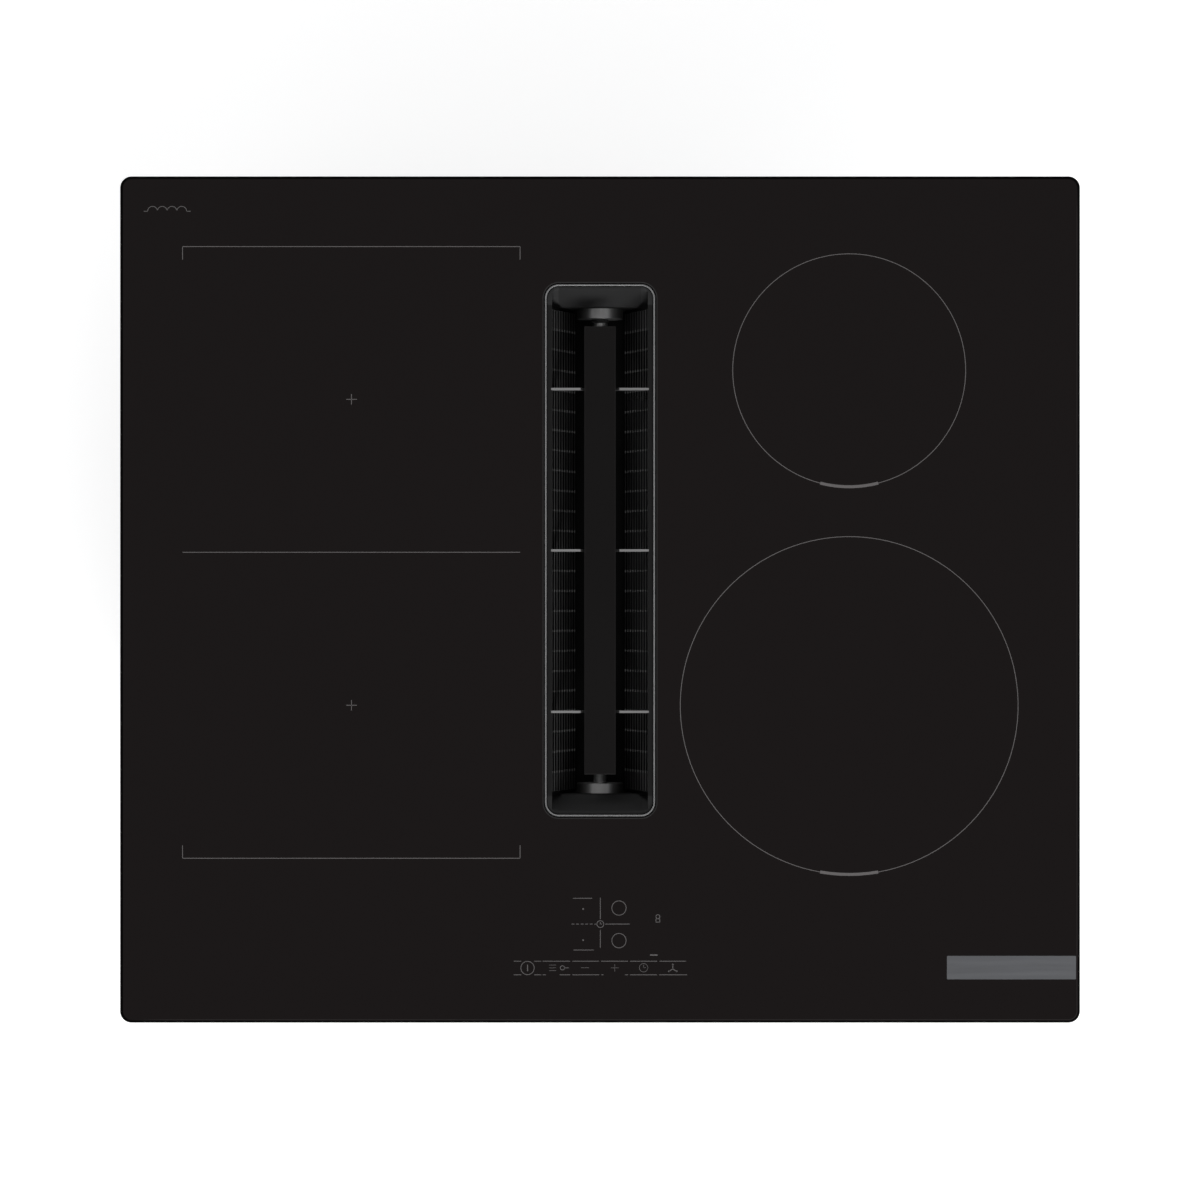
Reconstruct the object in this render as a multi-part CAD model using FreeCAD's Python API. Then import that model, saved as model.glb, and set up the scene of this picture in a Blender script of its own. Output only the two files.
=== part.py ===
import FreeCAD, Part

import math
import os

# Induction cooktop with a downdraft vent in the middle of its glass.
# Millimetres. +X is to the user's right, +Y to the back, +Z up.
# The origin is the centre of the glass outline, on the worktop's surface.

# Glass top and the foam strip that it lies on
glass_width = 592.0
glass_depth = 522.0
glass_thickness = 4.0
glass_corner_radius = 7.0
glass_facet = 1.7
glass_facet_drop = 0.3
overall_height = 223.0
strip_thickness = 1.0
strip_width = 10.0
strip_inset = 3.0

# Vent opening in the glass, its steel collar and the silicone joint round it
vent_width = 69.2
vent_front_gap = 126.5
vent_back_gap = 65.9
vent_corner_radius = 9.3
vent_arris = 0.45
joint_width = 0.8
joint_drop = 0.5
collar_wall = 0.8
collar_proud = 0.3
collar_chamfer = 0.25

# Sheet steel case under the glass
case_inset = 20.0
case_height = 59.0
case_corner_radius = 8.0
case_sheet = 1.0
case_flange = 8.0
case_window_gap = 3.0
louvre_width = 3.0
louvre_height = 24.0
louvre_pitch = 20.0
louvre_count = 6
intake_slot_width = 4.0
intake_slot_pitch = 12.0
intake_slot_count = 5

# Plastic pocket that hangs from the glass and takes the filter unit
pocket_wall = 2.0
pocket_depth = 72.0
pocket_flange_width = 10.0
pocket_flange_thickness = 2.0
ledge_reach = 6.0
ledge_drop = 13.0
ledge_thickness = 3.0

# Filter unit: frame, grip bar, webs, rod and hubs
filter_gap = 0.5
frame_drop = 1.5
rail_width = 2.9
rail_height = 5.0
rim_width = 1.5
scoop_run = 11.7
scoop_depth = 25.0
scoop_lip = 0.8
scoop_cheek = 3.5
end_plate_thickness = 2.0
filter_height = 66.0
grip_bar_width = 19.4
grip_bar_end_gap = 12.7
grip_bar_thickness = 5.0
grip_bar_edge = 0.6
grip_bar_drop = 0.8
web_thickness = 1.4
web_spacing_share = 0.3023
web_count = 3
web_drop = 0.2
web_depth = 9.5
web_seat = 0.6
web_taper = 2.3
rod_slot_gap = 0.1
web_mesh_gap = 0.3
tongue_width = 16.0
tongue_below_rod = 6.0
rod_diameter = 8.0
hub_diameter = 28.8
hub_length = 6.0

# Filter mesh: slats along the unit on cross ribs
mesh_foot_x = 15.6
mesh_foot_z = -46.0
slat_count = 9
slat_thickness = 0.6
slat_depth = 0.5
rib_depth = 0.8
rib_width = 1.0
ribs_per_bay = 8
mesh_end_strip = 2.0
trough_half_width = 17.0
trough_wall = 1.0

# Induction coils, one under each cooking zone; places and sizes follow the glass
zone_x_share = 0.25946
left_rear_share = 0.23659
left_front_share = -0.12490
right_rear_share = 0.27088
right_front_share = -0.12529
span_to_width_share = 0.88176
left_coil_width_share = 0.33108
left_coil_depth_share = 0.33716
left_coil_corner_share = 0.28
small_coil_share = 0.26437
large_coil_share = 0.38314
coil_hole = 44.0
coil_thickness = 5.0
coil_margin = 4.0
coil_sides = 20
coil_hole_sides = 12
carrier_thickness = 4.0
felt_thickness = 2.0
felt_size = 14.0
felt_reach_share = 0.62
ferrite_width = 12.0
ferrite_thickness = 4.0
ferrite_count = 6
ferrite_inset = 6.0
sensor_diameter = 14.0
post_sides = 6
round_sides = 8

# Aluminium plates that carry the coils, each folded down at front and back
plate_sheet = 1.2
plate_gap = 4.0
plate_side_gap = 6.0

# Power boards, heat sinks and parts on them
board_side_gap = 20.0
board_front_gap = 14.0
board_depth_share = 0.478
board_thickness = 1.6
board_height = 6.0
standoff_diameter = 7.0
standoff_inset = 10.0
sink_width_share = 0.333
sink_length_share = 0.6
sink_base = 4.0
sink_fin_thickness = 1.6
sink_fin_count = 9
sink_height = 24.0
sink_offset_share = 0.222
capacitor_diameter = 22.0
capacitor_height = 26.0
choke_diameter = 30.0
choke_height = 14.0
parts_pitch_share = 0.16

# Electronics cooling fans
cooler_size = 80.0
cooler_height = 24.0
cooler_bore = 76.0
cooler_side_gap = 39.0
cooler_front_gap = 6.0
cooler_hub = 30.0
cooler_blade_gap = 1.0
cooler_blade_thickness = 1.2
cooler_blade_count = 7
cooler_blade_share = 0.88
cooler_strut_width = 5.0
cooler_strut_height = 2.0
cooler_pin = 4.0
cooler_seat_height = 5.0

# Touch control board behind the front edge of the glass
control_width = 150.0
control_depth = 63.0
control_front_gap = 60.0
control_wall = 1.6
control_height = 14.0
control_board_drop = 8.0
key_count = 7
key_pitch = 18.2
key_front_gap = 33.7
key_diameter = 6.4
display_width = 13.0
display_depth = 9.0
display_spread_x = 11.5
display_spread_y = 10.0

# Air housing below the case: lid and tub
tub_left = -262.0
tub_right = 120.0
tub_front_gap = 15.8
tub_back_gap = 16.0
tub_corner = 16.0
corner_steps = 4
tub_wall = 2.5
lid_thickness = 3.0
lid_flange = 9.0
tub_flange_thickness = 3.0
tub_rib_width = 2.0
tub_rib_reach = 3.5
tub_rib_pitch = 62.0

# Blower: scroll, impeller and motor
fan_x = -126.0
fan_y = 10.0
impeller_radius = 78.0
impeller_height = 72.0
impeller_eye = 58.0
impeller_lift = 8.0
impeller_plate = 2.0
blade_count = 11
blade_thickness = 1.6
blade_inner_radius = 54.0
blade_lag = 22.0
blade_bend_share = 0.4
rim_sides = 28
scroll_clearance = 10.0
scroll_growth = 5.0
scroll_height = 87.0
scroll_wall = 2.0
scroll_floor = 2.5
scroll_end_gap = 0.3
tongue_angle = 115.0
motor_radius = 38.0
motor_height = 44.0
motor_foot_radius = 46.0
motor_foot_thickness = 3.0
motor_air_gap = 1.5
dome_wall = 2.0
shaft_radius = 4.0
shaft_clearance = 0.05
damper_radius = 6.0
damper_count = 3
bellmouth_radius = 56.0
bellmouth_lip = 8.0

# Air outlet for the flat duct at the back
duct_width = 218.0
duct_height = 85.0
duct_wall = 2.0
duct_reach = 16.0
duct_flange = 4.5
duct_flange_thickness = 3.0

# Overflow container in the floor of the tub
tank_x = 20.0
tank_y = 30.0
tank_width = 88.0
tank_length = 210.0
tank_height = 48.0
tank_wall = 2.0
tank_corner = 5.0
tank_gap = 1.0
tank_lift = 0.5
tank_seal = 1.5
tank_lip = 2.0
tank_grip_width = 34.0
tank_grip_length = 60.0
tank_grip_depth = 9.0

# Mains terminal box under the case
box_side_gap = 15.0
box_back_gap = 36.0
box_width = 78.0
box_length = 110.0
box_height = 34.0
box_wall = 2.0
box_lid_thickness = 2.5
box_lid_gap = 0.4
bridge_drop = 1.25
gland_radius = 9.0
gland_wall = 3.0
gland_reach = 12.0
hinge_radius = 2.5
hinge_pin_radius = 1.2
hinge_knuckle = 14.0
hinge_clearance = 0.05
block_width = 50.0
block_length = 22.0
block_height = 18.0

# Leaf springs on the case walls that grip the sides of the cut-out
clip_y_share = 0.311
clip_width = 16.0
clip_sheet = 0.8
clip_top = -8.0
clip_tab = 10.0
clip_length = 40.0
clip_bulge = 4.5
clip_screw_radius = 3.0
clip_screw_height = 1.8

# Screws that hold the case and the air housing
screw_head_radius = 4.0
screw_head_height = 2.2
screw_spacing = 120.0

overrun = 5.0
level_tolerance = 0.005

# Levels worked out from the sizes above
glass_bottom = strip_thickness
case_width = glass_width - 2 * case_inset
case_depth = glass_depth - 2 * case_inset
glass_top = glass_bottom + glass_thickness
base_level = glass_top - overall_height
case_bottom = glass_bottom - case_height
case_floor = case_bottom + case_sheet
lid_bottom = case_bottom - lid_thickness
tub_back = case_depth / 2 - tub_back_gap
tub_front = vent_front_gap - tub_front_gap - glass_depth / 2
tub_floor = base_level + tub_wall
vent_length = glass_depth - vent_front_gap - vent_back_gap
vent_y = (vent_front_gap - vent_back_gap) / 2
collar_half_width = vent_width / 2 - joint_width
collar_half_length = vent_length / 2 - joint_width
collar_radius = vent_corner_radius - joint_width
shaft_half_width = collar_half_width - collar_wall
shaft_half_length = collar_half_length - collar_wall
shaft_corner = collar_radius - collar_wall
pocket_bottom = glass_bottom - pocket_depth
ledge_top = glass_bottom - ledge_drop
frame_half_width = shaft_half_width - filter_gap
frame_half_length = shaft_half_length - filter_gap
frame_corner = shaft_corner - filter_gap
frame_top = glass_top - frame_drop
rail_inner = frame_half_width - rail_width
scoop_inner = frame_half_length - scoop_run
scoop_bottom = frame_top - scoop_depth
filter_bottom = frame_top - filter_height
rod_axis = scoop_bottom - hub_diameter / 2
grip_bar_length = 2 * (scoop_inner - grip_bar_end_gap)
web_spacing = vent_length * web_spacing_share
bar_top = glass_top - grip_bar_drop
bar_bottom = bar_top - grip_bar_thickness
web_top = frame_top - web_drop
web_bottom = web_top - web_depth
mesh_head_x = rail_inner
mesh_head_z = frame_top - rail_height
mesh_slope = math.atan2(mesh_head_x - mesh_foot_x, mesh_head_z - mesh_foot_z)
trough_top = mesh_foot_z - (slat_depth + rib_depth) * math.sin(mesh_slope)
zone_x = glass_width * zone_x_share
coil_span = min(glass_width * span_to_width_share, glass_depth)
left_coil_width = glass_width * left_coil_width_share
left_coil_depth = glass_depth * left_coil_depth_share
coil_top = glass_bottom - felt_thickness
coil_bottom = coil_top - coil_thickness
carrier_bottom = coil_bottom - carrier_thickness
plate_bottom = carrier_bottom - ferrite_thickness - plate_sheet
bay_inner = shaft_half_width + pocket_wall + pocket_flange_width + plate_side_gap
bay_outer = case_width / 2 - case_sheet - plate_gap
cooler_x = case_width / 2 - case_sheet - cooler_side_gap - cooler_size / 2
cooler_y = case_sheet + cooler_front_gap + cooler_size / 2 - case_depth / 2
board_x = (bay_inner + bay_outer) / 2
board_width = bay_outer - bay_inner - 2 * board_side_gap
board_depth = glass_depth * board_depth_share
board_y = cooler_y + cooler_size / 2 + board_front_gap + board_depth / 2
control_y = control_front_gap - glass_depth / 2
key_y = key_front_gap - glass_depth / 2
box_x = case_width / 2 - box_side_gap - box_width / 2
box_y = case_depth / 2 - box_back_gap - box_length / 2
clip_y = case_depth * clip_y_share
board_bottom = case_floor + board_height
board_top = board_bottom + board_thickness
seal_top = base_level + tank_lift + tank_height
scroll_bottom = tub_floor
scroll_top = scroll_bottom + scroll_height
impeller_bottom = scroll_bottom + scroll_floor + impeller_lift
impeller_top = impeller_bottom + impeller_height
scroll_left = fan_x - impeller_radius - scroll_clearance - 5 * scroll_growth
duct_centre_x = scroll_left + duct_width / 2 - duct_wall
duct_centre_z = scroll_bottom + scroll_floor + duct_height / 2


def at(x, y, z):
    """A point or a direction."""
    return FreeCAD.Vector(x, y, z)


def block(x0, x1, y0, y1, z0, z1):
    """A plain block between two limits on each axis."""
    return Part.makeBox(x1 - x0, y1 - y0, z1 - z0, at(x0, y0, z0))


def rounded_wire(x0, x1, y0, y1, z, radius):
    """A rectangle with round corners, at height z."""
    bulge = radius * (1 - math.sqrt(0.5))
    corners = [
        (at(x1 - radius, y0, z), at(x1 - bulge, y0 + bulge, z), at(x1, y0 + radius, z)),
        (at(x1, y1 - radius, z), at(x1 - bulge, y1 - bulge, z), at(x1 - radius, y1, z)),
        (at(x0 + radius, y1, z), at(x0 + bulge, y1 - bulge, z), at(x0, y1 - radius, z)),
        (at(x0, y0 + radius, z), at(x0 + bulge, y0 + bulge, z), at(x0 + radius, y0, z)),
    ]
    edges = []
    for index, (start, middle, end) in enumerate(corners):
        edges.append(Part.Arc(start, middle, end).toShape())
        following = corners[(index + 1) % len(corners)][0]
        edges.append(Part.LineSegment(end, following).toShape())
    return Part.Wire(edges)


def rounded_block(x0, x1, y0, y1, z0, z1, radius):
    """A block whose four upright edges are round."""
    face = Part.Face(rounded_wire(x0, x1, y0, y1, z0, radius))
    return face.extrude(at(0, 0, z1 - z0))


def centred_round(half_x, half_y, centre_y, z0, z1, radius):
    """A rounded block given by its half sizes and its centre in Y."""
    return rounded_block(-half_x, half_x, centre_y - half_y, centre_y + half_y, z0, z1, radius)


def stepped_block(x0, x1, y0, y1, z0, z1, radius):
    """A block whose upright edges are rounded in a few flat steps."""
    points = []
    for x, y, start in (
        (x1 - radius, y0 + radius, -90), (x1 - radius, y1 - radius, 0),
        (x0 + radius, y1 - radius, 90), (x0 + radius, y0 + radius, 180),
    ):
        for step in range(corner_steps + 1):
            turn = math.radians(start + 90 * step / corner_steps)
            points.append(at(x + radius * math.cos(turn), y + radius * math.sin(turn), z0))
    return prism(points, at(0, 0, z1 - z0))


def centred(half_x, half_y, centre_y, z0, z1, radius, centre_x=0):
    """A stepped block given by its half sizes and its centre."""
    return stepped_block(
        centre_x - half_x, centre_x + half_x, centre_y - half_y, centre_y + half_y, z0, z1, radius
    )


def many_sided(x, y, z0, z1, radius, sides):
    """An upright prism on a regular polygon."""
    points = []
    for index in range(sides):
        turn = 2 * math.pi * index / sides
        points.append(at(x + radius * math.cos(turn), y + radius * math.sin(turn), z0))
    return prism(points, at(0, 0, z1 - z0))


def cylinder(x, y, z0, z1, radius):
    """An upright cylinder."""
    return Part.makeCylinder(radius, z1 - z0, at(x, y, z0))


def cylinder_y(x, z, y0, y1, radius):
    """A cylinder that lies along Y."""
    return Part.makeCylinder(radius, y1 - y0, at(x, y0, z), at(0, 1, 0))


def prism(points, direction):
    """A flat polygon through the points, pushed along a direction."""
    return Part.Face(Part.makePolygon(points + points[:1])).extrude(direction)


def prism_xz(points, y0, y1):
    """A polygon in X and Z, extruded along Y."""
    return prism([at(x, y0, z) for x, z in points], at(0, y1 - y0, 0))


def prism_yz(points, x0, x1):
    """A polygon in Y and Z, extruded along X."""
    return prism([at(x0, y, z) for y, z in points], at(x1 - x0, 0, 0))


def edges_at(shape, z):
    """The edges that lie wholly at height z."""
    found = []
    for edge in shape.Edges:
        box = edge.BoundBox
        if abs(box.ZMin - z) < level_tolerance and abs(box.ZMax - z) < level_tolerance:
            found.append(edge)
    return found


def fused(shapes):
    """Several touching or crossing shapes as one solid."""
    return shapes[0].multiFuse(shapes[1:]).removeSplitter()


def turned(shape, angle, x=0, y=0):
    """A copy turned about the upright axis through x and y."""
    copy = shape.copy()
    copy.rotate(at(x, y, 0), at(0, 0, 1), angle)
    return copy


def faceted_glass():
    """The glass plate, with a shallow facet round its upper edge."""
    half_x, half_y = glass_width / 2, glass_depth / 2
    shoulder = glass_top - glass_facet_drop
    plate = centred_round(half_x, half_y, 0, glass_bottom, shoulder, glass_corner_radius)
    low = rounded_wire(-half_x, half_x, -half_y, half_y, shoulder, glass_corner_radius)
    high = rounded_wire(
        glass_facet - half_x, half_x - glass_facet, glass_facet - half_y, half_y - glass_facet,
        glass_top, glass_corner_radius - glass_facet,
    )
    return plate.fuse(Part.makeLoft([low, high], True, True)).removeSplitter()


def glass_pieces():
    """The glass, the foam strip under its edge, and the vent's collar and joint."""
    opening = centred_round(
        vent_width / 2, vent_length / 2, vent_y,
        glass_bottom - overrun, glass_top + overrun, vent_corner_radius,
    )
    glass = faceted_glass().cut(opening)
    arris = [edge for edge in edges_at(glass, glass_top) if edge.BoundBox.XMax < vent_width]
    glass = glass.makeChamfer(vent_arris, [edge for edge in arris if edge.BoundBox.XMin > -vent_width])
    outer_x = glass_width / 2 - strip_inset
    outer_y = glass_depth / 2 - strip_inset
    strip = centred(outer_x, outer_y, 0, 0, strip_thickness, glass_corner_radius)
    strip = strip.cut(block(
        strip_width - outer_x, outer_x - strip_width,
        strip_width - outer_y, outer_y - strip_width,
        -overrun, strip_thickness + overrun,
    ))

    collar_top = glass_top + collar_proud
    bore = centred_round(
        shaft_half_width, shaft_half_length, vent_y,
        glass_bottom - overrun, glass_top + overrun, shaft_corner,
    )
    collar_body = centred_round(
        collar_half_width, collar_half_length, vent_y, glass_bottom, collar_top, collar_radius
    )
    collar = collar_body.cut(bore)
    collar = collar.makeChamfer(collar_chamfer, edges_at(collar, collar_top))
    joint = centred_round(
        vent_width / 2, vent_length / 2, vent_y,
        glass_bottom, glass_top - joint_drop, vent_corner_radius,
    )
    joint = joint.cut(centred_round(
        collar_half_width, collar_half_length, vent_y,
        glass_bottom - overrun, glass_top + overrun, collar_radius,
    ))
    return {
        "glass_top": glass,
        "edge_foam_strip": strip,
        "vent_collar": collar,
        "vent_silicone_joint": joint,
    }


def case_piece():
    """The folded steel case: walls, floor, inner flange, pocket window and air slots."""
    half_x = case_width / 2
    half_y = case_depth / 2
    body = centred(half_x, half_y, 0, case_bottom, glass_bottom, case_corner_radius)
    hollow = centred(
        half_x - case_sheet, half_y - case_sheet, 0,
        case_floor, glass_bottom - case_sheet, case_corner_radius - case_sheet,
    )
    mouth = block(
        case_flange - half_x, half_x - case_flange, case_flange - half_y, half_y - case_flange,
        glass_bottom - case_sheet - overrun, glass_bottom + overrun,
    )
    window_x = shaft_half_width + pocket_wall + case_window_gap
    window_y = shaft_half_length + pocket_wall + case_window_gap
    window = centred(
        window_x, window_y, vent_y, case_bottom - overrun, case_floor + overrun, vent_corner_radius
    )
    slots = [mouth, window]
    middle = (case_bottom + glass_bottom) / 2
    first = -louvre_pitch * (louvre_count - 1) / 2
    for index in range(louvre_count):
        along = first + index * louvre_pitch
        slots.append(block(
            -half_x - overrun, half_x + overrun,
            along - louvre_width / 2, along + louvre_width / 2,
            middle - louvre_height / 2, middle + louvre_height / 2,
        ))
        for side in (-1, 1):
            slots.append(block(
                side * zone_x + along - louvre_width / 2, side * zone_x + along + louvre_width / 2,
                -half_y - overrun, case_sheet + overrun - half_y,
                middle - louvre_height / 2, middle + louvre_height / 2,
            ))
    for side in (-1, 1):
        for index in range(intake_slot_count):
            offset = (index - (intake_slot_count - 1) / 2) * intake_slot_pitch
            reach = math.sqrt((cooler_bore / 2) ** 2 - offset**2) - intake_slot_width
            slots.append(block(
                side * cooler_x - reach, side * cooler_x + reach,
                cooler_y + offset - intake_slot_width / 2, cooler_y + offset + intake_slot_width / 2,
                case_bottom - overrun, case_floor + overrun,
            ))
    return {"steel_case": body.cut(hollow).cut(Part.makeCompound(slots))}


def pocket_piece():
    """The pocket: a straight shaft with a flange under the glass and a ledge at each end."""
    outer_x = shaft_half_width + pocket_wall
    outer_y = shaft_half_length + pocket_wall
    radius = shaft_corner + pocket_wall
    body = centred(outer_x, outer_y, vent_y, pocket_bottom, glass_bottom, radius)
    flange = centred(
        outer_x + pocket_flange_width, outer_y + pocket_flange_width, vent_y,
        glass_bottom - pocket_flange_thickness, glass_bottom, radius + pocket_flange_width,
    )
    shaft = centred(
        shaft_half_width, shaft_half_length, vent_y,
        pocket_bottom - overrun, glass_bottom + overrun, shaft_corner,
    )
    body = body.fuse(flange).cut(shaft)
    ledge = centred(
        outer_x - pocket_wall / 2, outer_y - pocket_wall / 2, vent_y,
        ledge_top - ledge_thickness, ledge_top, radius - pocket_wall / 2,
    )
    ledge = ledge.cut(block(
        -outer_x, outer_x,
        vent_y - shaft_half_length + ledge_reach, vent_y + shaft_half_length - ledge_reach,
        ledge_top - ledge_thickness - overrun, ledge_top + overrun,
    ))
    return {"inlet_pocket": body.fuse(ledge).removeSplitter()}


def end_scoop():
    """The back end of the filter frame: a scoop between two cheeks, over an upright end plate."""
    step = frame_half_length - ledge_reach
    lip_end = scoop_inner + scoop_lip
    plate_out = scoop_inner + end_plate_thickness
    head_y = frame_half_length - rim_width
    under = [(plate_out, scoop_bottom), (step, ledge_top), (frame_half_length, ledge_top)]
    body = prism_yz(
        [
            (frame_half_length, frame_top), (head_y, frame_top), (lip_end, scoop_bottom),
            (scoop_inner, scoop_bottom), (scoop_inner, filter_bottom), (plate_out, filter_bottom),
        ] + under,
        -frame_half_width, frame_half_width,
    )
    sides = []
    for side in (-1, 1):
        x0, x1 = sorted((side * rail_inner, side * frame_half_width))
        wall = [(frame_half_length, frame_top), (scoop_inner, frame_top), (scoop_inner, scoop_bottom)]
        sides.append(prism_yz(wall + under, x0, x1))
        sides.append(prism(
            [
                at(side * (rail_inner - scoop_cheek), head_y, frame_top),
                at(side * (rail_inner + rim_width), head_y, frame_top),
                at(side * (rail_inner + rim_width), head_y, frame_top + scoop_cheek + rim_width),
            ],
            at(0, lip_end - head_y, scoop_bottom - frame_top),
        ))
    outline = [
        (-frame_half_width, frame_top), (frame_half_width, frame_top), (frame_half_width, scoop_bottom),
        (trough_half_width, mesh_foot_z), (trough_half_width, filter_bottom),
        (-trough_half_width, filter_bottom), (-trough_half_width, mesh_foot_z),
        (-frame_half_width, scoop_bottom),
    ]
    return fused([body] + sides).common(prism_xz(outline, 0, frame_half_length + overrun))


def frame_piece():
    """The moulded filter frame: two rails and two end scoops, with notches for the webs."""
    rim = centred_round(
        frame_half_width, frame_half_length, 0, frame_top - rail_height, frame_top, frame_corner
    )
    inside = block(
        -rail_inner, rail_inner, -scoop_inner, scoop_inner,
        frame_top - rail_height - overrun, frame_top + overrun,
    )
    back = end_scoop()
    front = turned(back, 180)
    corners = centred_round(
        frame_half_width, frame_half_length, 0, filter_bottom - overrun, frame_top + overrun, frame_corner
    )
    cap = rim.cut(inside)
    room = end_room()
    cap = cap.cut(Part.makeCompound([room, turned(room, 180)]))
    body = fused([cap, back.common(corners), front.common(corners)])
    notches = []
    for offset in web_places():
        notches.append(block(
            -rail_inner - web_seat, rail_inner + web_seat,
            offset - web_thickness / 2, offset + web_thickness / 2,
            mesh_head_z, frame_top + overrun,
        ))
    body = body.cut(Part.makeCompound(notches))
    return moved_to_vent(body)


def end_room():
    """The hollow over the back scoop, as deep as the frame's rim."""
    return prism_yz(
        [
            (scoop_inner - overrun, frame_top + overrun),
            (frame_half_length - rim_width, frame_top + overrun),
            (frame_half_length - rim_width, frame_top),
            (scoop_inner + scoop_lip, scoop_bottom),
            (scoop_inner - overrun, scoop_bottom),
        ],
        -rail_inner, rail_inner,
    )


def web_places():
    """Where the webs stand along the unit, from its middle."""
    return [(index - (web_count - 1) / 2) * web_spacing for index in range(web_count)]


def moved_to_vent(shape):
    """The shape, moved from the filter unit's own middle to the vent's place."""
    copy = shape.copy()
    copy.translate(at(0, vent_y, 0))
    return copy


def mesh_face_x(z):
    """How far out the mesh's inner face lies at height z."""
    fall = (z - mesh_head_z) / (mesh_foot_z - mesh_head_z)
    return mesh_head_x + (mesh_foot_x - mesh_head_x) * fall


def web(offset):
    """One steel web: a strip under the grip bar with a forked tongue that sits over the rod."""
    half_bar = grip_bar_width / 2
    half_tongue = tongue_width / 2
    half_slot = rod_diameter / 2 + rod_slot_gap
    end = rail_inner + web_seat
    foot = mesh_face_x(web_bottom) - web_mesh_gap
    shoulder = mesh_head_z + web_mesh_gap
    head = mesh_face_x(shoulder) - web_mesh_gap
    tongue_end = rod_axis - tongue_below_rod
    right = [
        (half_bar, bar_bottom), (half_bar + web_taper, web_top), (end, web_top), (end, shoulder),
        (head, shoulder), (foot, web_bottom), (half_tongue, web_bottom), (half_tongue, tongue_end),
        (half_slot, tongue_end), (half_slot, rod_axis + half_slot),
    ]
    left = [(-x, z) for x, z in reversed(right)]
    strip = prism_xz(right + left, offset - web_thickness / 2, offset + web_thickness / 2)
    return moved_to_vent(strip)


def grip_pieces():
    """The grip bar, the rod below it, and the round hub at each end of the rod."""
    bar = block(
        -grip_bar_width / 2, grip_bar_width / 2, -grip_bar_length / 2, grip_bar_length / 2,
        bar_bottom, bar_top,
    )
    bar = bar.makeChamfer(grip_bar_edge, edges_at(bar, bar_top))
    rod_end = scoop_inner - hub_length
    rod = cylinder_y(0, rod_axis, -rod_end, rod_end, rod_diameter / 2)
    hub = cylinder_y(0, rod_axis, rod_end, scoop_inner, hub_diameter / 2)
    return {
        "grip_bar": moved_to_vent(bar),
        "filter_tie_rod": moved_to_vent(rod),
        "rod_hubs": moved_to_vent(Part.makeCompound([hub, turned(hub, 180)])),
    }


def slope_point(u, v):
    """A place on the right mesh: u down the slope from its head, v out from its inner face."""
    run_x = mesh_foot_x - mesh_head_x
    run_z = mesh_foot_z - mesh_head_z
    length = math.hypot(run_x, run_z)
    return (
        mesh_head_x + (run_x * u - run_z * v) / length,
        mesh_head_z + (run_z * u + run_x * v) / length,
    )


def slope_block(u0, u1, v0, v1, y0, y1):
    """A block that leans with the right mesh."""
    corners = [slope_point(u0, v0), slope_point(u1, v0), slope_point(u1, v1), slope_point(u0, v1)]
    return prism_xz(corners, y0, y1)


def mesh_panel():
    """The right-hand mesh: a ladder of slats along the unit, on a ladder of cross ribs."""
    length = math.hypot(mesh_foot_x - mesh_head_x, mesh_foot_z - mesh_head_z)
    pitch = (length - slat_thickness) / slat_count
    end = scoop_inner - mesh_end_strip
    gaps = []
    for index in range(slat_count):
        start = pitch * index + slat_thickness
        stop = pitch * (index + 1)
        gaps.append(slope_block(start, stop, -overrun, slat_depth + overrun, -end, end))
    slats = slope_block(0, length, 0, slat_depth, -scoop_inner, scoop_inner)
    slats = slats.cut(Part.makeCompound(gaps))
    rib_pitch = web_spacing / ribs_per_bay
    reach = int(end / rib_pitch)
    windows = []
    for index in range(-reach, reach):
        windows.append(slope_block(
            slat_thickness, length - slat_thickness, -overrun, slat_depth + rib_depth + overrun,
            index * rib_pitch + rib_width / 2, (index + 1) * rib_pitch - rib_width / 2,
        ))
    ribs = slope_block(0, length, slat_depth, slat_depth + rib_depth, -scoop_inner, scoop_inner)
    return Part.makeCompound([slats, ribs.cut(Part.makeCompound(windows))])


def filter_pieces():
    """Everything that lifts out as one unit."""
    pieces = {"filter_frame": frame_piece()}
    pieces.update(grip_pieces())
    pieces["filter_webs"] = Part.makeCompound([web(offset) for offset in web_places()])
    panel = mesh_panel()
    pieces["filter_mesh_right"] = moved_to_vent(panel)
    pieces["filter_mesh_left"] = moved_to_vent(turned(panel, 180))
    trough = block(
        -trough_half_width, trough_half_width, -scoop_inner, scoop_inner, filter_bottom, trough_top
    )
    trough = trough.cut(block(
        trough_wall - trough_half_width, trough_half_width - trough_wall,
        -scoop_inner - overrun, scoop_inner + overrun,
        filter_bottom + trough_wall, trough_top + overrun,
    ))
    pieces["grease_trough"] = moved_to_vent(trough)
    return pieces


zones = {
    "rear_left": (-zone_x, glass_depth * left_rear_share, None),
    "front_left": (-zone_x, glass_depth * left_front_share, None),
    "rear_right": (zone_x, glass_depth * right_rear_share, coil_span * small_coil_share),
    "front_right": (zone_x, glass_depth * right_front_share, coil_span * large_coil_share),
}


def zone_plate(x, y, diameter, z0, z1, margin=0):
    """A many-sided disc for a round zone, or a plate with cut corners for a left one."""
    if diameter is not None:
        return many_sided(x, y, z0, z1, diameter / 2 + margin, coil_sides)
    half_x = left_coil_width / 2 + margin
    half_y = left_coil_depth / 2 + margin
    corner = left_coil_depth * left_coil_corner_share
    points = []
    for sx, sy in ((1, -1), (1, 1), (-1, 1), (-1, -1)):
        pair = [
            at(x + sx * (half_x - corner), y + sy * half_y, z0),
            at(x + sx * half_x, y + sy * (half_y - corner), z0),
        ]
        points += pair if sx != sy else pair[::-1]
    return prism(points, at(0, 0, z1 - z0))


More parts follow.
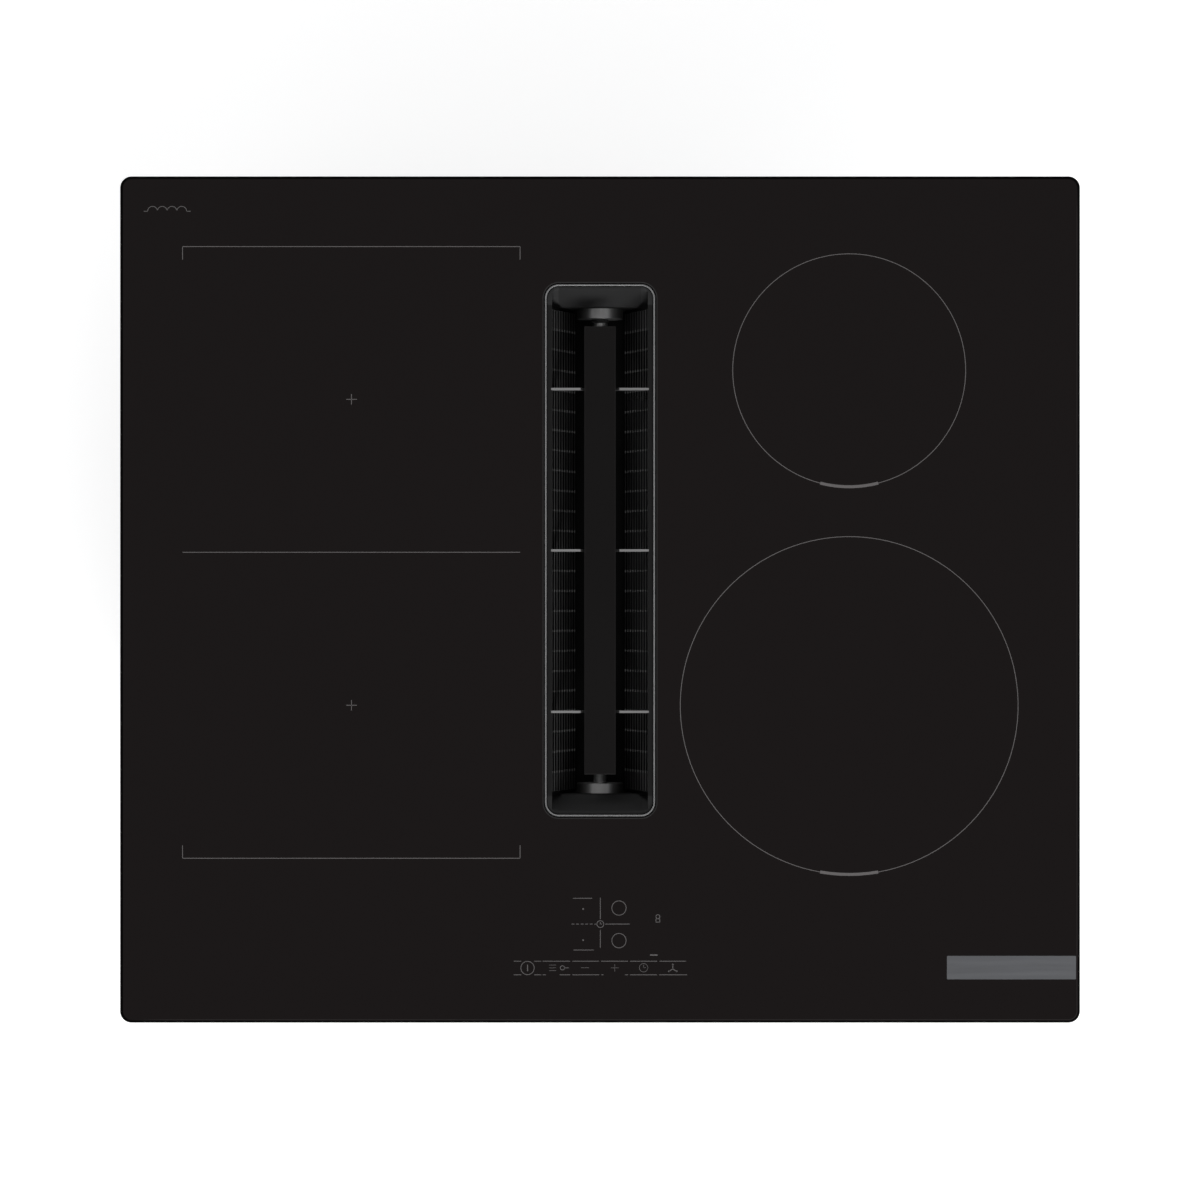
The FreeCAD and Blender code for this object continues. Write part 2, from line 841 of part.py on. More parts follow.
def coil_pieces():
    """For each zone: winding and carrier. For all: ferrites, felt pads and sensors."""
    pieces = {}
    ferrites = []
    felts = []
    sensors = []
    ferrite_bottom = carrier_bottom - ferrite_thickness
    for name, (x, y, diameter) in zones.items():
        hole = many_sided(x, y, coil_bottom - overrun, coil_top + overrun, coil_hole / 2, coil_hole_sides)
        pieces["coil_winding_" + name] = zone_plate(x, y, diameter, coil_bottom, coil_top).cut(hole)
        pieces["coil_carrier_" + name] = zone_plate(x, y, diameter, carrier_bottom, coil_bottom, coil_margin)
        half = (diameter or left_coil_depth) / 2
        bar = block(
            x + coil_hole / 2, x + half - ferrite_inset, y - ferrite_width / 2, y + ferrite_width / 2,
            ferrite_bottom, carrier_bottom,
        )
        ferrites += [turned(bar, 360 / ferrite_count * index, x, y) for index in range(ferrite_count)]
        middle = x + half * felt_reach_share
        pad = block(
            middle - felt_size / 2, middle + felt_size / 2, y - felt_size / 2, y + felt_size / 2,
            coil_top, glass_bottom,
        )
        felts += [turned(pad, 90 * index, x, y) for index in range(4)]
        sensors.append(many_sided(x, y, coil_bottom, glass_bottom, sensor_diameter / 2, post_sides))
    pieces["ferrite_bars"] = Part.makeCompound(ferrites)
    pieces["coil_felt_pads"] = Part.makeCompound(felts)
    pieces["zone_temperature_sensors"] = Part.makeCompound(sensors)
    return pieces


def coil_plate(side):
    """One aluminium plate beside the pocket, folded down to the case floor at both ends."""
    half_y = case_depth / 2 - case_sheet - plate_gap
    x0, x1 = sorted((side * bay_inner, side * bay_outer))
    sheet = block(x0, x1, -half_y, half_y, case_floor, plate_bottom + plate_sheet)
    hollow = block(
        x0 - overrun, x1 + overrun, plate_sheet - half_y, half_y - plate_sheet,
        case_floor - overrun, plate_bottom,
    )
    return sheet.cut(hollow)


def standoff_pieces():
    """The posts under the corners of both power boards."""
    reach_x = board_width / 2 - standoff_inset
    reach_y = board_depth / 2 - standoff_inset
    radius = standoff_diameter / 2
    posts = [
        many_sided(x + dx, board_y + dy, case_floor, board_bottom, radius, post_sides)
        for x in (-board_x, board_x) for dx in (-reach_x, reach_x) for dy in (-reach_y, reach_y)
    ]
    return {"board_standoffs": Part.makeCompound(posts)}


def board_pieces(side, label):
    """One power board with its heat sink, capacitors and chokes."""
    x = side * board_x
    x0, x1 = x - board_width / 2, x + board_width / 2
    y0, y1 = board_y - board_depth / 2, board_y + board_depth / 2
    board = block(x0, x1, y0, y1, board_bottom, board_top)
    sink_width = board_width * sink_width_share
    sink_length = board_depth * sink_length_share
    sink_x = x + side * board_width * sink_offset_share
    sink_left = sink_x - sink_width / 2
    sink = block(
        sink_left, sink_left + sink_width, board_y - sink_length / 2, board_y + sink_length / 2,
        board_top, board_top + sink_height,
    )
    gap = (sink_width - sink_fin_thickness) / (sink_fin_count - 1)
    channels = [
        block(
            sink_left + sink_fin_thickness + gap * index, sink_left + gap * (index + 1),
            board_y - sink_length / 2 - overrun, board_y + sink_length / 2 + overrun,
            board_top + sink_base, board_top + sink_height + overrun,
        )
        for index in range(sink_fin_count - 1)
    ]
    parts_x = x - side * board_width * sink_offset_share
    parts_pitch = board_depth * parts_pitch_share
    parts = []
    for step in (-2, -1, 0, 1, 2):
        y = board_y + parts_pitch * step
        choke = abs(step) == 2
        height = choke_height if choke else capacitor_height
        diameter = choke_diameter if choke else capacitor_diameter
        parts.append(many_sided(parts_x, y, board_top, board_top + height, diameter / 2, round_sides))
    return {
        "power_board_" + label: board,
        "heat_sink_" + label: sink.cut(Part.makeCompound(channels)),
        "board_components_" + label: Part.makeCompound(parts),
    }


def cooler_pieces(side, label):
    """One cooling fan: its square frame with struts and seat, and its rotor."""
    x, y = side * cooler_x, cooler_y
    top = case_floor + cooler_height
    half = cooler_size / 2
    frame = block(x - half, x + half, y - half, y + half, case_floor, top)
    frame = frame.cut(many_sided(x, y, case_floor - overrun, top + overrun, cooler_bore / 2, coil_sides))
    seat = many_sided(x, y, case_floor, case_floor + cooler_seat_height, cooler_hub / 2, round_sides)
    half_strut = cooler_strut_width / 2
    reach = (cooler_size + cooler_bore) / 4
    strut_top = case_floor + cooler_strut_height
    cross = [
        block(x - reach, x + reach, y - half_strut, y + half_strut, case_floor, strut_top),
        block(x - half_strut, x + half_strut, y - reach, y + reach, case_floor, strut_top),
    ]
    frame = fused([frame, seat] + cross)
    frame = frame.cut(cylinder(x, y, strut_top, top, cooler_pin / 2 + shaft_clearance))
    hub_bottom = case_floor + cooler_seat_height + cooler_blade_gap
    blade_top = top - cooler_blade_gap
    hub = many_sided(x, y, hub_bottom, blade_top, cooler_hub / 2, cooler_blade_count)
    pin = cylinder(x, y, strut_top + shaft_clearance, hub_bottom + cooler_blade_gap, cooler_pin / 2)
    lean = cooler_hub / 3
    blade = prism_yz(
        [
            (y - lean, hub_bottom), (y - lean + cooler_blade_thickness, hub_bottom),
            (y + lean, blade_top), (y + lean - cooler_blade_thickness, blade_top),
        ],
        x, x + cooler_bore / 2 * cooler_blade_share,
    )
    blades = [turned(blade, 360 / cooler_blade_count * index, x, y) for index in range(cooler_blade_count)]
    return {
        "cooling_fan_frame_" + label: frame,
        "cooling_fan_rotor_" + label: fused([hub, pin] + blades),
    }


def control_pieces():
    """The touch control: holder, board, key springs and displays."""
    half_x, half_y = control_width / 2, control_depth / 2
    bottom = glass_bottom - control_height
    board_level = glass_bottom - control_board_drop
    y0, y1 = control_y - half_y, control_y + half_y
    holder = block(-half_x, half_x, y0, y1, bottom, glass_bottom)
    holder = holder.cut(block(
        control_wall - half_x, half_x - control_wall, y0 + control_wall, y1 - control_wall,
        board_level, glass_bottom + overrun,
    ))
    holder = holder.cut(block(
        2 * control_wall - half_x, half_x - 2 * control_wall, y0 + 2 * control_wall, y1 - 2 * control_wall,
        bottom + control_wall, glass_bottom + overrun,
    ))
    board = block(
        control_wall - half_x, half_x - control_wall, y0 + control_wall, y1 - control_wall,
        board_level, board_level + board_thickness,
    )
    level = board_level + board_thickness
    first_key = -(key_count - 1) / 2 * key_pitch
    keys = [
        many_sided(first_key + index * key_pitch, key_y, level, glass_bottom, key_diameter / 2, post_sides)
        for index in range(key_count)
    ]
    displays = [
        block(
            sx * display_spread_x - display_width / 2, sx * display_spread_x + display_width / 2,
            control_y + sy * display_spread_y - display_depth / 2,
            control_y + sy * display_spread_y + display_depth / 2,
            level, glass_bottom,
        )
        for sx in (-1, 1) for sy in (-1, 1)
    ]
    return {
        "control_holder": holder,
        "control_board": board,
        "touch_key_springs": Part.makeCompound(keys),
        "zone_displays": Part.makeCompound(displays),
    }


def tub_screw_places():
    """Screws round the tub's flange, evenly spaced on each side."""
    off = lid_flange / 2
    span_x = tub_right - tub_left - 2 * tub_corner
    span_y = tub_back - tub_front - 2 * tub_corner
    count_x = int(span_x / screw_spacing) + 1
    count_y = int(span_y / screw_spacing) + 1
    places = []
    for index in range(count_x):
        x = tub_left + tub_corner + span_x * index / (count_x - 1)
        places += [(x, tub_front - off), (x, tub_back + off)]
    for index in range(count_y):
        y = tub_front + tub_corner + span_y * index / (count_y - 1)
        places += [(tub_left - off, y), (tub_right + off, y)]
    return places


def tub_rib_places(low, high, taken):
    """Evenly spaced places between two limits, leaving out those too near a screw."""
    count = int((high - low - 2 * tub_corner) / tub_rib_pitch)
    clear = screw_head_radius + tub_rib_width
    places = []
    for index in range(count + 1):
        place = (low + high) / 2 + (index - count / 2) * tub_rib_pitch
        if min(abs(place - other) for other in taken) > clear:
            places.append(place)
    return places


def tub_ribs():
    """The upright ribs on the tub's four walls."""
    half = tub_rib_width / 2
    low = base_level + tub_corner
    top = lid_bottom - tub_flange_thickness / 2
    screws = tub_screw_places()
    ribs = []
    for x in tub_rib_places(tub_left, tub_right, [sx for sx, sy in screws if tub_left < sx < tub_right]):
        ribs.append(block(x - half, x + half, tub_front - tub_rib_reach, tub_front + half, low, top))
        if abs(x - duct_centre_x) > duct_width / 2 + duct_flange + tub_rib_width:
            ribs.append(block(x - half, x + half, tub_back - half, tub_back + tub_rib_reach, low, top))
    for y in tub_rib_places(tub_front, tub_back, [sy for sx, sy in screws if tub_front < sy < tub_back]):
        ribs.append(block(tub_left - tub_rib_reach, tub_left + half, y - half, y + half, low, top))
        ribs.append(block(tub_right - half, tub_right + tub_rib_reach, y - half, y + half, low, top))
    return ribs


def air_housing_pieces():
    """The lid under the case, and the ribbed tub with a lipped curb round the container."""
    window_x = shaft_half_width + pocket_wall + filter_gap
    window_y = shaft_half_length + pocket_wall + filter_gap

    def outline(inset, z0, z1):
        """The tub's outline, drawn in by the inset."""
        return stepped_block(
            tub_left + inset, tub_right - inset, tub_front + inset, tub_back - inset,
            z0, z1, tub_corner - inset,
        )

    lid = outline(-lid_flange, lid_bottom, case_bottom)
    lid = lid.cut(centred(
        window_x, window_y, vent_y, lid_bottom - overrun, case_bottom + overrun,
        shaft_corner + pocket_wall + filter_gap,
    ))
    flange = outline(-lid_flange, lid_bottom - tub_flange_thickness, lid_bottom)
    body = fused([outline(0, base_level, lid_bottom), flange] + tub_ribs())
    tank_hole = block(
        tank_x - tank_width / 2 - tank_gap, tank_x + tank_width / 2 + tank_gap,
        tank_y - tank_length / 2 - tank_gap, tank_y + tank_length / 2 + tank_gap,
        base_level - overrun, seal_top,
    )
    tank_mouth = block(
        tank_x + tank_wall - tank_width / 2, tank_x - tank_wall + tank_width / 2,
        tank_y + tank_wall - tank_length / 2, tank_y - tank_wall + tank_length / 2,
        tub_floor, seal_top + tank_lip + overrun,
    )
    curb = block(
        tank_x - tank_width / 2 - tank_gap - tub_wall, tank_x + tank_width / 2 + tank_gap + tub_wall,
        tank_y - tank_length / 2 - tank_gap - tub_wall, tank_y + tank_length / 2 + tank_gap + tub_wall,
        tub_floor - tub_wall / 2, seal_top + tank_lip,
    )
    outlet = block(
        duct_centre_x - duct_width / 2, duct_centre_x + duct_width / 2,
        tub_back - tub_corner, tub_back + overrun,
        duct_centre_z - duct_height / 2, duct_centre_z + duct_height / 2,
    )
    body = body.cut(outline(tub_wall, tub_floor, lid_bottom + overrun))
    body = body.fuse(curb).cut(tank_hole).cut(tank_mouth).cut(outlet).removeSplitter()
    return {"air_housing_lid": lid, "air_housing_tub": body}


def scroll_outline(z):
    """The scroll's inner outline: three growing quarter arcs and a widening outlet."""
    radius = impeller_radius + scroll_clearance
    grow = scroll_growth
    first = at(fan_x + grow, fan_y - grow, z)
    second = at(fan_x - grow, fan_y - grow, z)
    third = at(fan_x - grow, fan_y + grow, z)

    def spot(centre, reach, angle):
        turn = math.radians(angle)
        return centre + at(reach * math.cos(turn), reach * math.sin(turn), 0)

    radius_two = radius + 2 * grow
    radius_three = radius_two + 2 * grow
    tongue = spot(first, radius, tongue_angle)
    arcs = [
        (tongue, spot(first, radius, tongue_angle / 2), spot(first, radius, 0)),
        (spot(second, radius_two, 0), spot(second, radius_two, -45), spot(second, radius_two, -90)),
        (spot(third, radius_three, -90), spot(third, radius_three, -135), spot(third, radius_three, 180)),
    ]
    left_end = arcs[2][2]
    exit_y = tub_back - tub_wall - scroll_end_gap
    left_exit = at(left_end.x, exit_y, z)
    right_exit = at(left_end.x + duct_width - 2 * duct_wall, exit_y, z)
    edges = [Part.Arc(*points).toShape() for points in arcs]
    edges.append(Part.LineSegment(left_end, left_exit).toShape())
    edges.append(Part.LineSegment(left_exit, right_exit).toShape())
    edges.append(Part.LineSegment(right_exit, tongue).toShape())
    return Part.Wire(edges)


def scroll_pieces():
    """The scroll's lower shell with its wall, and its cover with the inlet bellmouth."""
    cover_bottom = scroll_top - scroll_wall
    inner = scroll_outline(scroll_bottom)
    outer = inner.makeOffset2D(scroll_wall)
    body = Part.Face(outer).extrude(at(0, 0, cover_bottom - scroll_bottom))
    cavity = Part.Face(inner).extrude(at(0, 0, scroll_height))
    cavity.translate(at(0, 0, scroll_floor))
    exit_y = tub_back - tub_wall - scroll_end_gap
    beyond = block(
        tub_left, tub_right, exit_y, exit_y + overrun, scroll_bottom - overrun, scroll_top + overrun
    )
    body = body.cut(cavity).cut(beyond)
    cover = Part.Face(outer).extrude(at(0, 0, scroll_wall))
    cover.translate(at(0, 0, cover_bottom - scroll_bottom))
    lip_top = scroll_top + bellmouth_lip
    lip = many_sided(fan_x, fan_y, cover_bottom, lip_top, bellmouth_radius + scroll_wall, rim_sides)
    cover = cover.fuse(lip).cut(many_sided(
        fan_x, fan_y, cover_bottom - overrun, lip_top + overrun, bellmouth_radius, rim_sides
    ))
    return {"blower_scroll": body, "blower_cover": cover.cut(beyond)}


def impeller_blade():
    """One backward-leaning blade, bent once between the eye and the rim."""
    outer_radius = impeller_radius - impeller_plate / 2
    middle_radius = (blade_inner_radius + outer_radius) / 2
    line = [(blade_inner_radius, 0), (middle_radius, blade_lag * blade_bend_share), (outer_radius, blade_lag)]
    front = []
    back = []
    for radius, lag in line:
        for side, points in ((-1, front), (1, back)):
            turn = math.radians(lag) + side * blade_thickness / 2 / radius
            points.append(at(
                fan_x + radius * math.cos(turn), fan_y + radius * math.sin(turn),
                impeller_bottom + impeller_plate / 2,
            ))
    return prism(front + back[::-1], at(0, 0, impeller_height - impeller_plate))


def blower_pieces():
    """The impeller with its dome and shaft, and the motor on rubber dampers."""
    dome_inner = motor_radius + motor_air_gap
    dome_outer = dome_inner + dome_wall
    motor_bottom = scroll_bottom + scroll_floor + damper_radius / 2
    motor_top = motor_bottom + motor_height
    foot_top = motor_bottom + motor_foot_thickness
    dome_top = motor_top + motor_air_gap + dome_wall
    plate_top = impeller_bottom + impeller_plate
    shroud_bottom = impeller_top - impeller_plate
    plate = many_sided(fan_x, fan_y, impeller_bottom, plate_top, impeller_radius, rim_sides)
    dome = many_sided(fan_x, fan_y, impeller_bottom, dome_top, dome_outer, coil_sides)
    room = many_sided(fan_x, fan_y, impeller_bottom - overrun, dome_top - dome_wall, dome_inner, coil_sides)
    shroud = many_sided(fan_x, fan_y, shroud_bottom, impeller_top, impeller_radius, rim_sides)
    shroud = shroud.cut(many_sided(
        fan_x, fan_y, shroud_bottom - overrun, impeller_top + overrun, impeller_eye, rim_sides
    ))
    blade = impeller_blade()
    blades = [turned(blade, 360 / blade_count * index, fan_x, fan_y) for index in range(blade_count)]
    shaft = cylinder(fan_x, fan_y, foot_top + shaft_clearance, dome_top - dome_wall / 2, shaft_radius)
    impeller = fused([plate, dome, shroud] + blades).cut(room).fuse(shaft)
    foot = many_sided(fan_x, fan_y, motor_bottom, foot_top, motor_foot_radius, round_sides)
    body = many_sided(fan_x, fan_y, motor_bottom, motor_top, motor_radius, coil_sides)
    bore = cylinder(fan_x, fan_y, foot_top, motor_top + overrun, shaft_radius + shaft_clearance)
    damper = many_sided(
        fan_x + motor_radius - damper_radius, fan_y, scroll_bottom + scroll_floor, motor_bottom,
        damper_radius, post_sides,
    )
    dampers = [turned(damper, 360 / damper_count * index, fan_x, fan_y) for index in range(damper_count)]
    return {
        "blower_impeller": impeller,
        "blower_motor": foot.fuse(body).cut(bore),
        "motor_rubber_dampers": Part.makeCompound(dampers),
    }


def duct_piece():
    """The outlet collar that a flat duct slides over, flanged on the tub's back."""
    wall_y = tub_back
    def tube(inset, y0, y1):
        return block(
            duct_centre_x - duct_width / 2 + inset, duct_centre_x + duct_width / 2 - inset, y0, y1,
            duct_centre_z - duct_height / 2 + inset, duct_centre_z + duct_height / 2 - inset,
        )
    flange = tube(-duct_flange, wall_y, wall_y + duct_flange_thickness)
    body = fused([flange, tube(0, wall_y, wall_y + duct_reach)])
    return {"duct_collar": body.cut(tube(duct_wall, wall_y - overrun, wall_y + duct_reach + overrun))}


def tank_pieces():
    """The overflow container, which drops out of the tub's floor, and its seal."""
    bottom = base_level + tank_lift
    top = bottom + tank_height - tank_seal

    def around(half_x, half_y, z0, z1):
        """A block about the container's middle."""
        return block(tank_x - half_x, tank_x + half_x, tank_y - half_y, tank_y + half_y, z0, z1)

    half_x, half_y = tank_width / 2, tank_length / 2
    body = centred(half_x, half_y, tank_y, bottom, top, tank_corner, tank_x)
    inside = around(half_x - tank_wall, half_y - tank_wall, bottom + tank_wall, top + overrun)
    grip_x, grip_y = tank_grip_width / 2, tank_grip_length / 2
    grip_outer = around(grip_x, grip_y, bottom, bottom + tank_grip_depth + tank_wall)
    grip = around(grip_x - tank_wall, grip_y - tank_wall, bottom - overrun, bottom + tank_grip_depth)
    body = body.cut(inside).fuse(grip_outer).cut(grip)
    seal = centred(half_x, half_y, tank_y, top, top + tank_seal, tank_corner, tank_x)
    seal = seal.cut(around(half_x - tank_wall, half_y - tank_wall, top - overrun, top + tank_seal + overrun))
    return {"overflow_container": body, "container_seal": seal}


def along_x(radius, half_length):
    """A cylinder on the hinge line of the terminal box, given by half its length."""
    hinge_y = box_y - box_length / 2 - hinge_radius - box_lid_gap
    hinge_z = case_bottom - box_height - box_lid_gap - hinge_radius
    return Part.makeCylinder(radius, 2 * half_length, at(box_x - half_length, hinge_y, hinge_z), at(1, 0, 0))


def terminal_pieces():
    """The mains box with its cable gland, terminal block, and hinged cover."""
    x0, x1 = box_x - box_width / 2, box_x + box_width / 2
    y0, y1 = box_y - box_length / 2, box_y + box_length / 2
    bottom = case_bottom - box_height
    shell = block(x0, x1, y0, y1, bottom, case_bottom)
    shell = shell.cut(block(
        x0 + box_wall, x1 - box_wall, y0 + box_wall, y1 - box_wall, bottom - overrun, case_bottom - box_wall
    ))
    gland_z = (bottom + case_bottom) / 2
    nut = many_sided(0, 0, -gland_reach - box_wall, 0, gland_radius + gland_wall, post_sides)
    nut.rotate(at(0, 0, 0), at(1, 0, 0), 90)
    nut.translate(at(box_x, y1 - box_wall, gland_z))
    shell = shell.fuse(nut).cut(cylinder_y(
        box_x, gland_z, y1 - box_wall - overrun, y1 + gland_reach + overrun, gland_radius
    ))
    hinge_z = bottom - box_lid_gap - hinge_radius
    hinge_y = y0 - hinge_radius - box_lid_gap
    half = hinge_knuckle / 2
    middle = along_x(2 * hinge_radius, half)
    ears = along_x(hinge_radius, 3 * half)
    webs = block(
        box_x - 3 * half, box_x + 3 * half,
        hinge_y - hinge_radius, y0 + box_wall / 2, hinge_z, bottom + box_wall,
    )
    webs = webs.cut(block(
        box_x - 3 * half - overrun, box_x + 3 * half + overrun, y0, y0 + box_wall, hinge_z - overrun, bottom
    ))
    gap = block(
        box_x - half, box_x + half, hinge_y - 2 * hinge_radius, y0,
        hinge_z - 2 * hinge_radius, bottom + overrun,
    )
    bore = along_x(hinge_pin_radius + hinge_clearance, 2 * hinge_knuckle)
    shell = shell.fuse(fused([ears, webs]).cut(gap).cut(middle)).cut(bore)
    lid_top = bottom - box_lid_gap
    lid = block(x0, x1, y0 + box_lid_gap, y1, lid_top - box_lid_thickness, lid_top)
    span = half - box_lid_gap
    bridge = block(
        box_x - span, box_x + span, hinge_y, y0 + 2 * box_wall,
        lid_top - box_lid_thickness - bridge_drop, lid_top - box_lid_thickness / 2,
    )
    lid = fused([lid, along_x(hinge_radius, span), bridge]).cut(bore)
    terminal = block(
        box_x - block_width / 2, box_x + block_width / 2, box_y - block_length / 2, box_y + block_length / 2,
        case_bottom - box_wall - block_height, case_bottom - box_wall,
    )
    return {
        "terminal_box": shell,
        "terminal_box_cover": lid,
        "terminal_hinge_pin": along_x(hinge_pin_radius, 3 * half),
        "terminal_block": terminal,
    }


def clip(side, y):
    """One leaf spring: a flat tab on the wall, then a bow in straight steps that stands off it."""
    wall = case_width / 2
    tab_end = clip_top - clip_tab
    low = clip_top - clip_length
    stand = wall + clip_bulge
    upper = tab_end + (low - tab_end) / 3
    lower = low + (tab_end - low) / 3
    profile = [
        (wall, clip_top), (wall + clip_sheet, clip_top), (wall + clip_sheet, tab_end), (stand, upper),
        (stand, lower), (wall + clip_sheet, low), (wall, low), (stand - clip_sheet, lower),
        (stand - clip_sheet, upper), (wall, tab_end),
    ]
    spring = prism_xz(profile, y - clip_width / 2, y + clip_width / 2)
    return spring if side > 0 else turned(spring, 180, 0, y)


def clip_pieces():
    """Four leaf springs and the hexagon screw through the tab of each."""
    springs = []
    screws = []
    for side in (-1, 1):
        for y in (-clip_y, clip_y):
            springs.append(clip(side, y))
            screw = many_sided(0, 0, 0, clip_screw_height, clip_screw_radius, post_sides)
            screw.rotate(at(0, 0, 0), at(0, 1, 0), 90 * side)
            screw.translate(at(side * (case_width / 2 + clip_sheet), y, clip_top - clip_tab / 2))
            screws.append(screw)
    return {"side_spring_clips": Part.makeCompound(springs), "spring_clip_screws": Part.makeCompound(screws)}


def screw_pieces():
    """The hexagon screws round the tub's flange."""
    level = lid_bottom - tub_flange_thickness
    screws = [
        many_sided(x, y, level - screw_head_height, level, screw_head_radius, post_sides)
        for x, y in tub_screw_places()
    ]
    return {"air_housing_screws": Part.makeCompound(screws)}


def all_pieces():
    """Every node of the model by name."""
    pieces = {}
    pieces.update(glass_pieces())
    pieces.update(case_piece())
    pieces.update(pocket_piece())
    pieces.update(filter_pieces())
    pieces.update(coil_pieces())
    for side, label in ((-1, "left"), (1, "right")):
        pieces["coil_plate_" + label] = coil_plate(side)
        pieces.update(board_pieces(side, label))
        pieces.update(cooler_pieces(side, label))
    pieces.update(standoff_pieces())
    pieces.update(control_pieces())
    pieces.update(air_housing_pieces())
    pieces.update(scroll_pieces())
    pieces.update(blower_pieces())
    pieces.update(duct_piece())
    pieces.update(tank_pieces())
    pieces.update(terminal_pieces())
    pieces.update(clip_pieces())
    pieces.update(screw_pieces())
    return pieces


os.makedirs("parts", exist_ok=True)
for node, shape in all_pieces().items():
    shape.exportStep("parts/" + node + ".step")
    print(node, len(shape.Solids), shape.isValid(), round(shape.Volume, 1))
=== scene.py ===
import math

import bmesh
import bpy
from mathutils import Matrix, Vector


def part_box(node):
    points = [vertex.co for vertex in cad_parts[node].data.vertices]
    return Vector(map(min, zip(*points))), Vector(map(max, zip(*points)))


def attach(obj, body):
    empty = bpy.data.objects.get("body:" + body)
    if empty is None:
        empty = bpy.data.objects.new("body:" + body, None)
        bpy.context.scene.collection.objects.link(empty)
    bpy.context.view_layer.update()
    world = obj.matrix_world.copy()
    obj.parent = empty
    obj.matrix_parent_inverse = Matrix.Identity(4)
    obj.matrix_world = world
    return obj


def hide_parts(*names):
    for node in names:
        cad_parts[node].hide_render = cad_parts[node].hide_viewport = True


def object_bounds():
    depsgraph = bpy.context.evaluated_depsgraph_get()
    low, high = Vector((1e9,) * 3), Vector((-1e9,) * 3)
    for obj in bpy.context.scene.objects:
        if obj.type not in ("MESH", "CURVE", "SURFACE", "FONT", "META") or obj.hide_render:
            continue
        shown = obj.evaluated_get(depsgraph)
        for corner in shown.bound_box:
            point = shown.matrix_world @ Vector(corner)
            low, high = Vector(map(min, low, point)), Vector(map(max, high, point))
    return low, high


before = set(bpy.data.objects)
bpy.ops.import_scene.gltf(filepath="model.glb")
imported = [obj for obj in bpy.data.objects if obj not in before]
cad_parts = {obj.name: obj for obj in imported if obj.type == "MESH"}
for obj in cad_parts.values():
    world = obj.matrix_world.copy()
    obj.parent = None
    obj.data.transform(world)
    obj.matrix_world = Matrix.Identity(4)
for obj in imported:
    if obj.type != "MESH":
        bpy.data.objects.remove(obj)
cad_low, cad_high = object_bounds()
mm = 0.001

# The picture: the cooktop seen from straight above, standing on its own base on a white
# studio floor under a dim ceiling, which is all that the flat glass reflects.
scene = bpy.context.scene
scene.view_settings.view_transform = "Standard"
glass_surface = 5.0 * mm
camera_height = 2800.0 * mm
picture_width = 740.2 * mm
view_shift = -0.3 * mm
sensor = 36.0

eye = bpy.data.cameras.new("photo_view")
eye.sensor_width = sensor
eye.lens = sensor * camera_height / picture_width
eye_object = bpy.data.objects.new("photo_view", eye)
eye_object.location = (0, view_shift, glass_surface + camera_height)
scene.collection.objects.link(eye_object)
scene.camera = eye_object


def join(tree, source, target):
    """Links one node's output to another's input."""
    tree.links.new(source, target)


def mixed(tree, mask, low, high):
    """Two colours or colour sockets mixed by a mask; returns the new socket."""
    mix = tree.nodes.new("ShaderNodeMix")
    mix.data_type = "RGBA"
    join(tree, mask, mix.inputs["Factor"])
    for colour, socket in ((low, mix.inputs["A"]), (high, mix.inputs["B"])):
        if isinstance(colour, bpy.types.NodeSocket):
            join(tree, colour, socket)
        else:
            socket.default_value = (*colour, 1)
    return mix.outputs["Result"]


def axes(tree, place):
    """Splits a place or direction; returns its X, Y and Z sockets."""
    split = tree.nodes.new("ShaderNodeSeparateXYZ")
    join(tree, place, split.inputs["Vector"])
    return split.outputs


def studio_world():
    """White for the camera; for light and gloss a pale horizon, a dark ring and a dim ceiling."""
    world = bpy.data.worlds.new("studio")
    scene.world = world
    world.use_nodes = True
    tree = world.node_tree
    backdrop = tree.nodes["Background"]
    backdrop.inputs["Strength"].default_value = 1.0
    direction = tree.nodes.new("ShaderNodeTexCoord")
    climb = tree.nodes.new("ShaderNodeValToRGB")
    tones = climb.color_ramp
    for height, colour in (
        (0.25, (0.86, 0.86, 0.87)), (0.8, (0.2, 0.2, 0.2)), (0.88, (0.03, 0.03, 0.03)),
        (0.955, (0.03, 0.03, 0.03)), (0.975, (0.21, 0.207, 0.207)),
    ):
        stop = tones.elements.new(height)
        stop.color = (*colour, 1)
    tones.elements.remove(tones.elements[0])
    tones.elements.remove(tones.elements[len(tones.elements) - 1])
    join(tree, axes(tree, direction.outputs["Generated"])["Z"], climb.inputs["Fac"])
    ray = tree.nodes.new("ShaderNodeLightPath")
    seen = mixed(tree, ray.outputs["Is Camera Ray"], climb.outputs["Color"], (1, 1, 1))
    join(tree, seen, backdrop.inputs["Color"])


studio_world()

floor_half, paper_glow = 6.0, 0.62
floor_mesh = bpy.data.meshes.new("studio_floor")
sheet = bmesh.new()
bmesh.ops.create_grid(
    sheet, x_segments=1, y_segments=1, size=floor_half, matrix=Matrix.Translation((0, 0, cad_low[2]))
)
sheet.to_mesh(floor_mesh)
sheet.free()
studio_floor = bpy.data.objects.new("studio_floor", floor_mesh)
scene.collection.objects.link(studio_floor)


def worked_out(tree, kind, operation, terms):
    """A math node of one kind between sockets and plain values; returns its outputs."""
    node = tree.nodes.new(kind)
    node.operation = operation
    for term, socket in zip(terms, node.inputs):
        if isinstance(term, bpy.types.NodeSocket):
            join(tree, term, socket)
        else:
            socket.default_value = term
    return node.outputs


def arithmetic(tree, operation, *terms):
    """A number worked out from sockets and numbers."""
    return worked_out(tree, "ShaderNodeMath", operation, terms)["Value"]


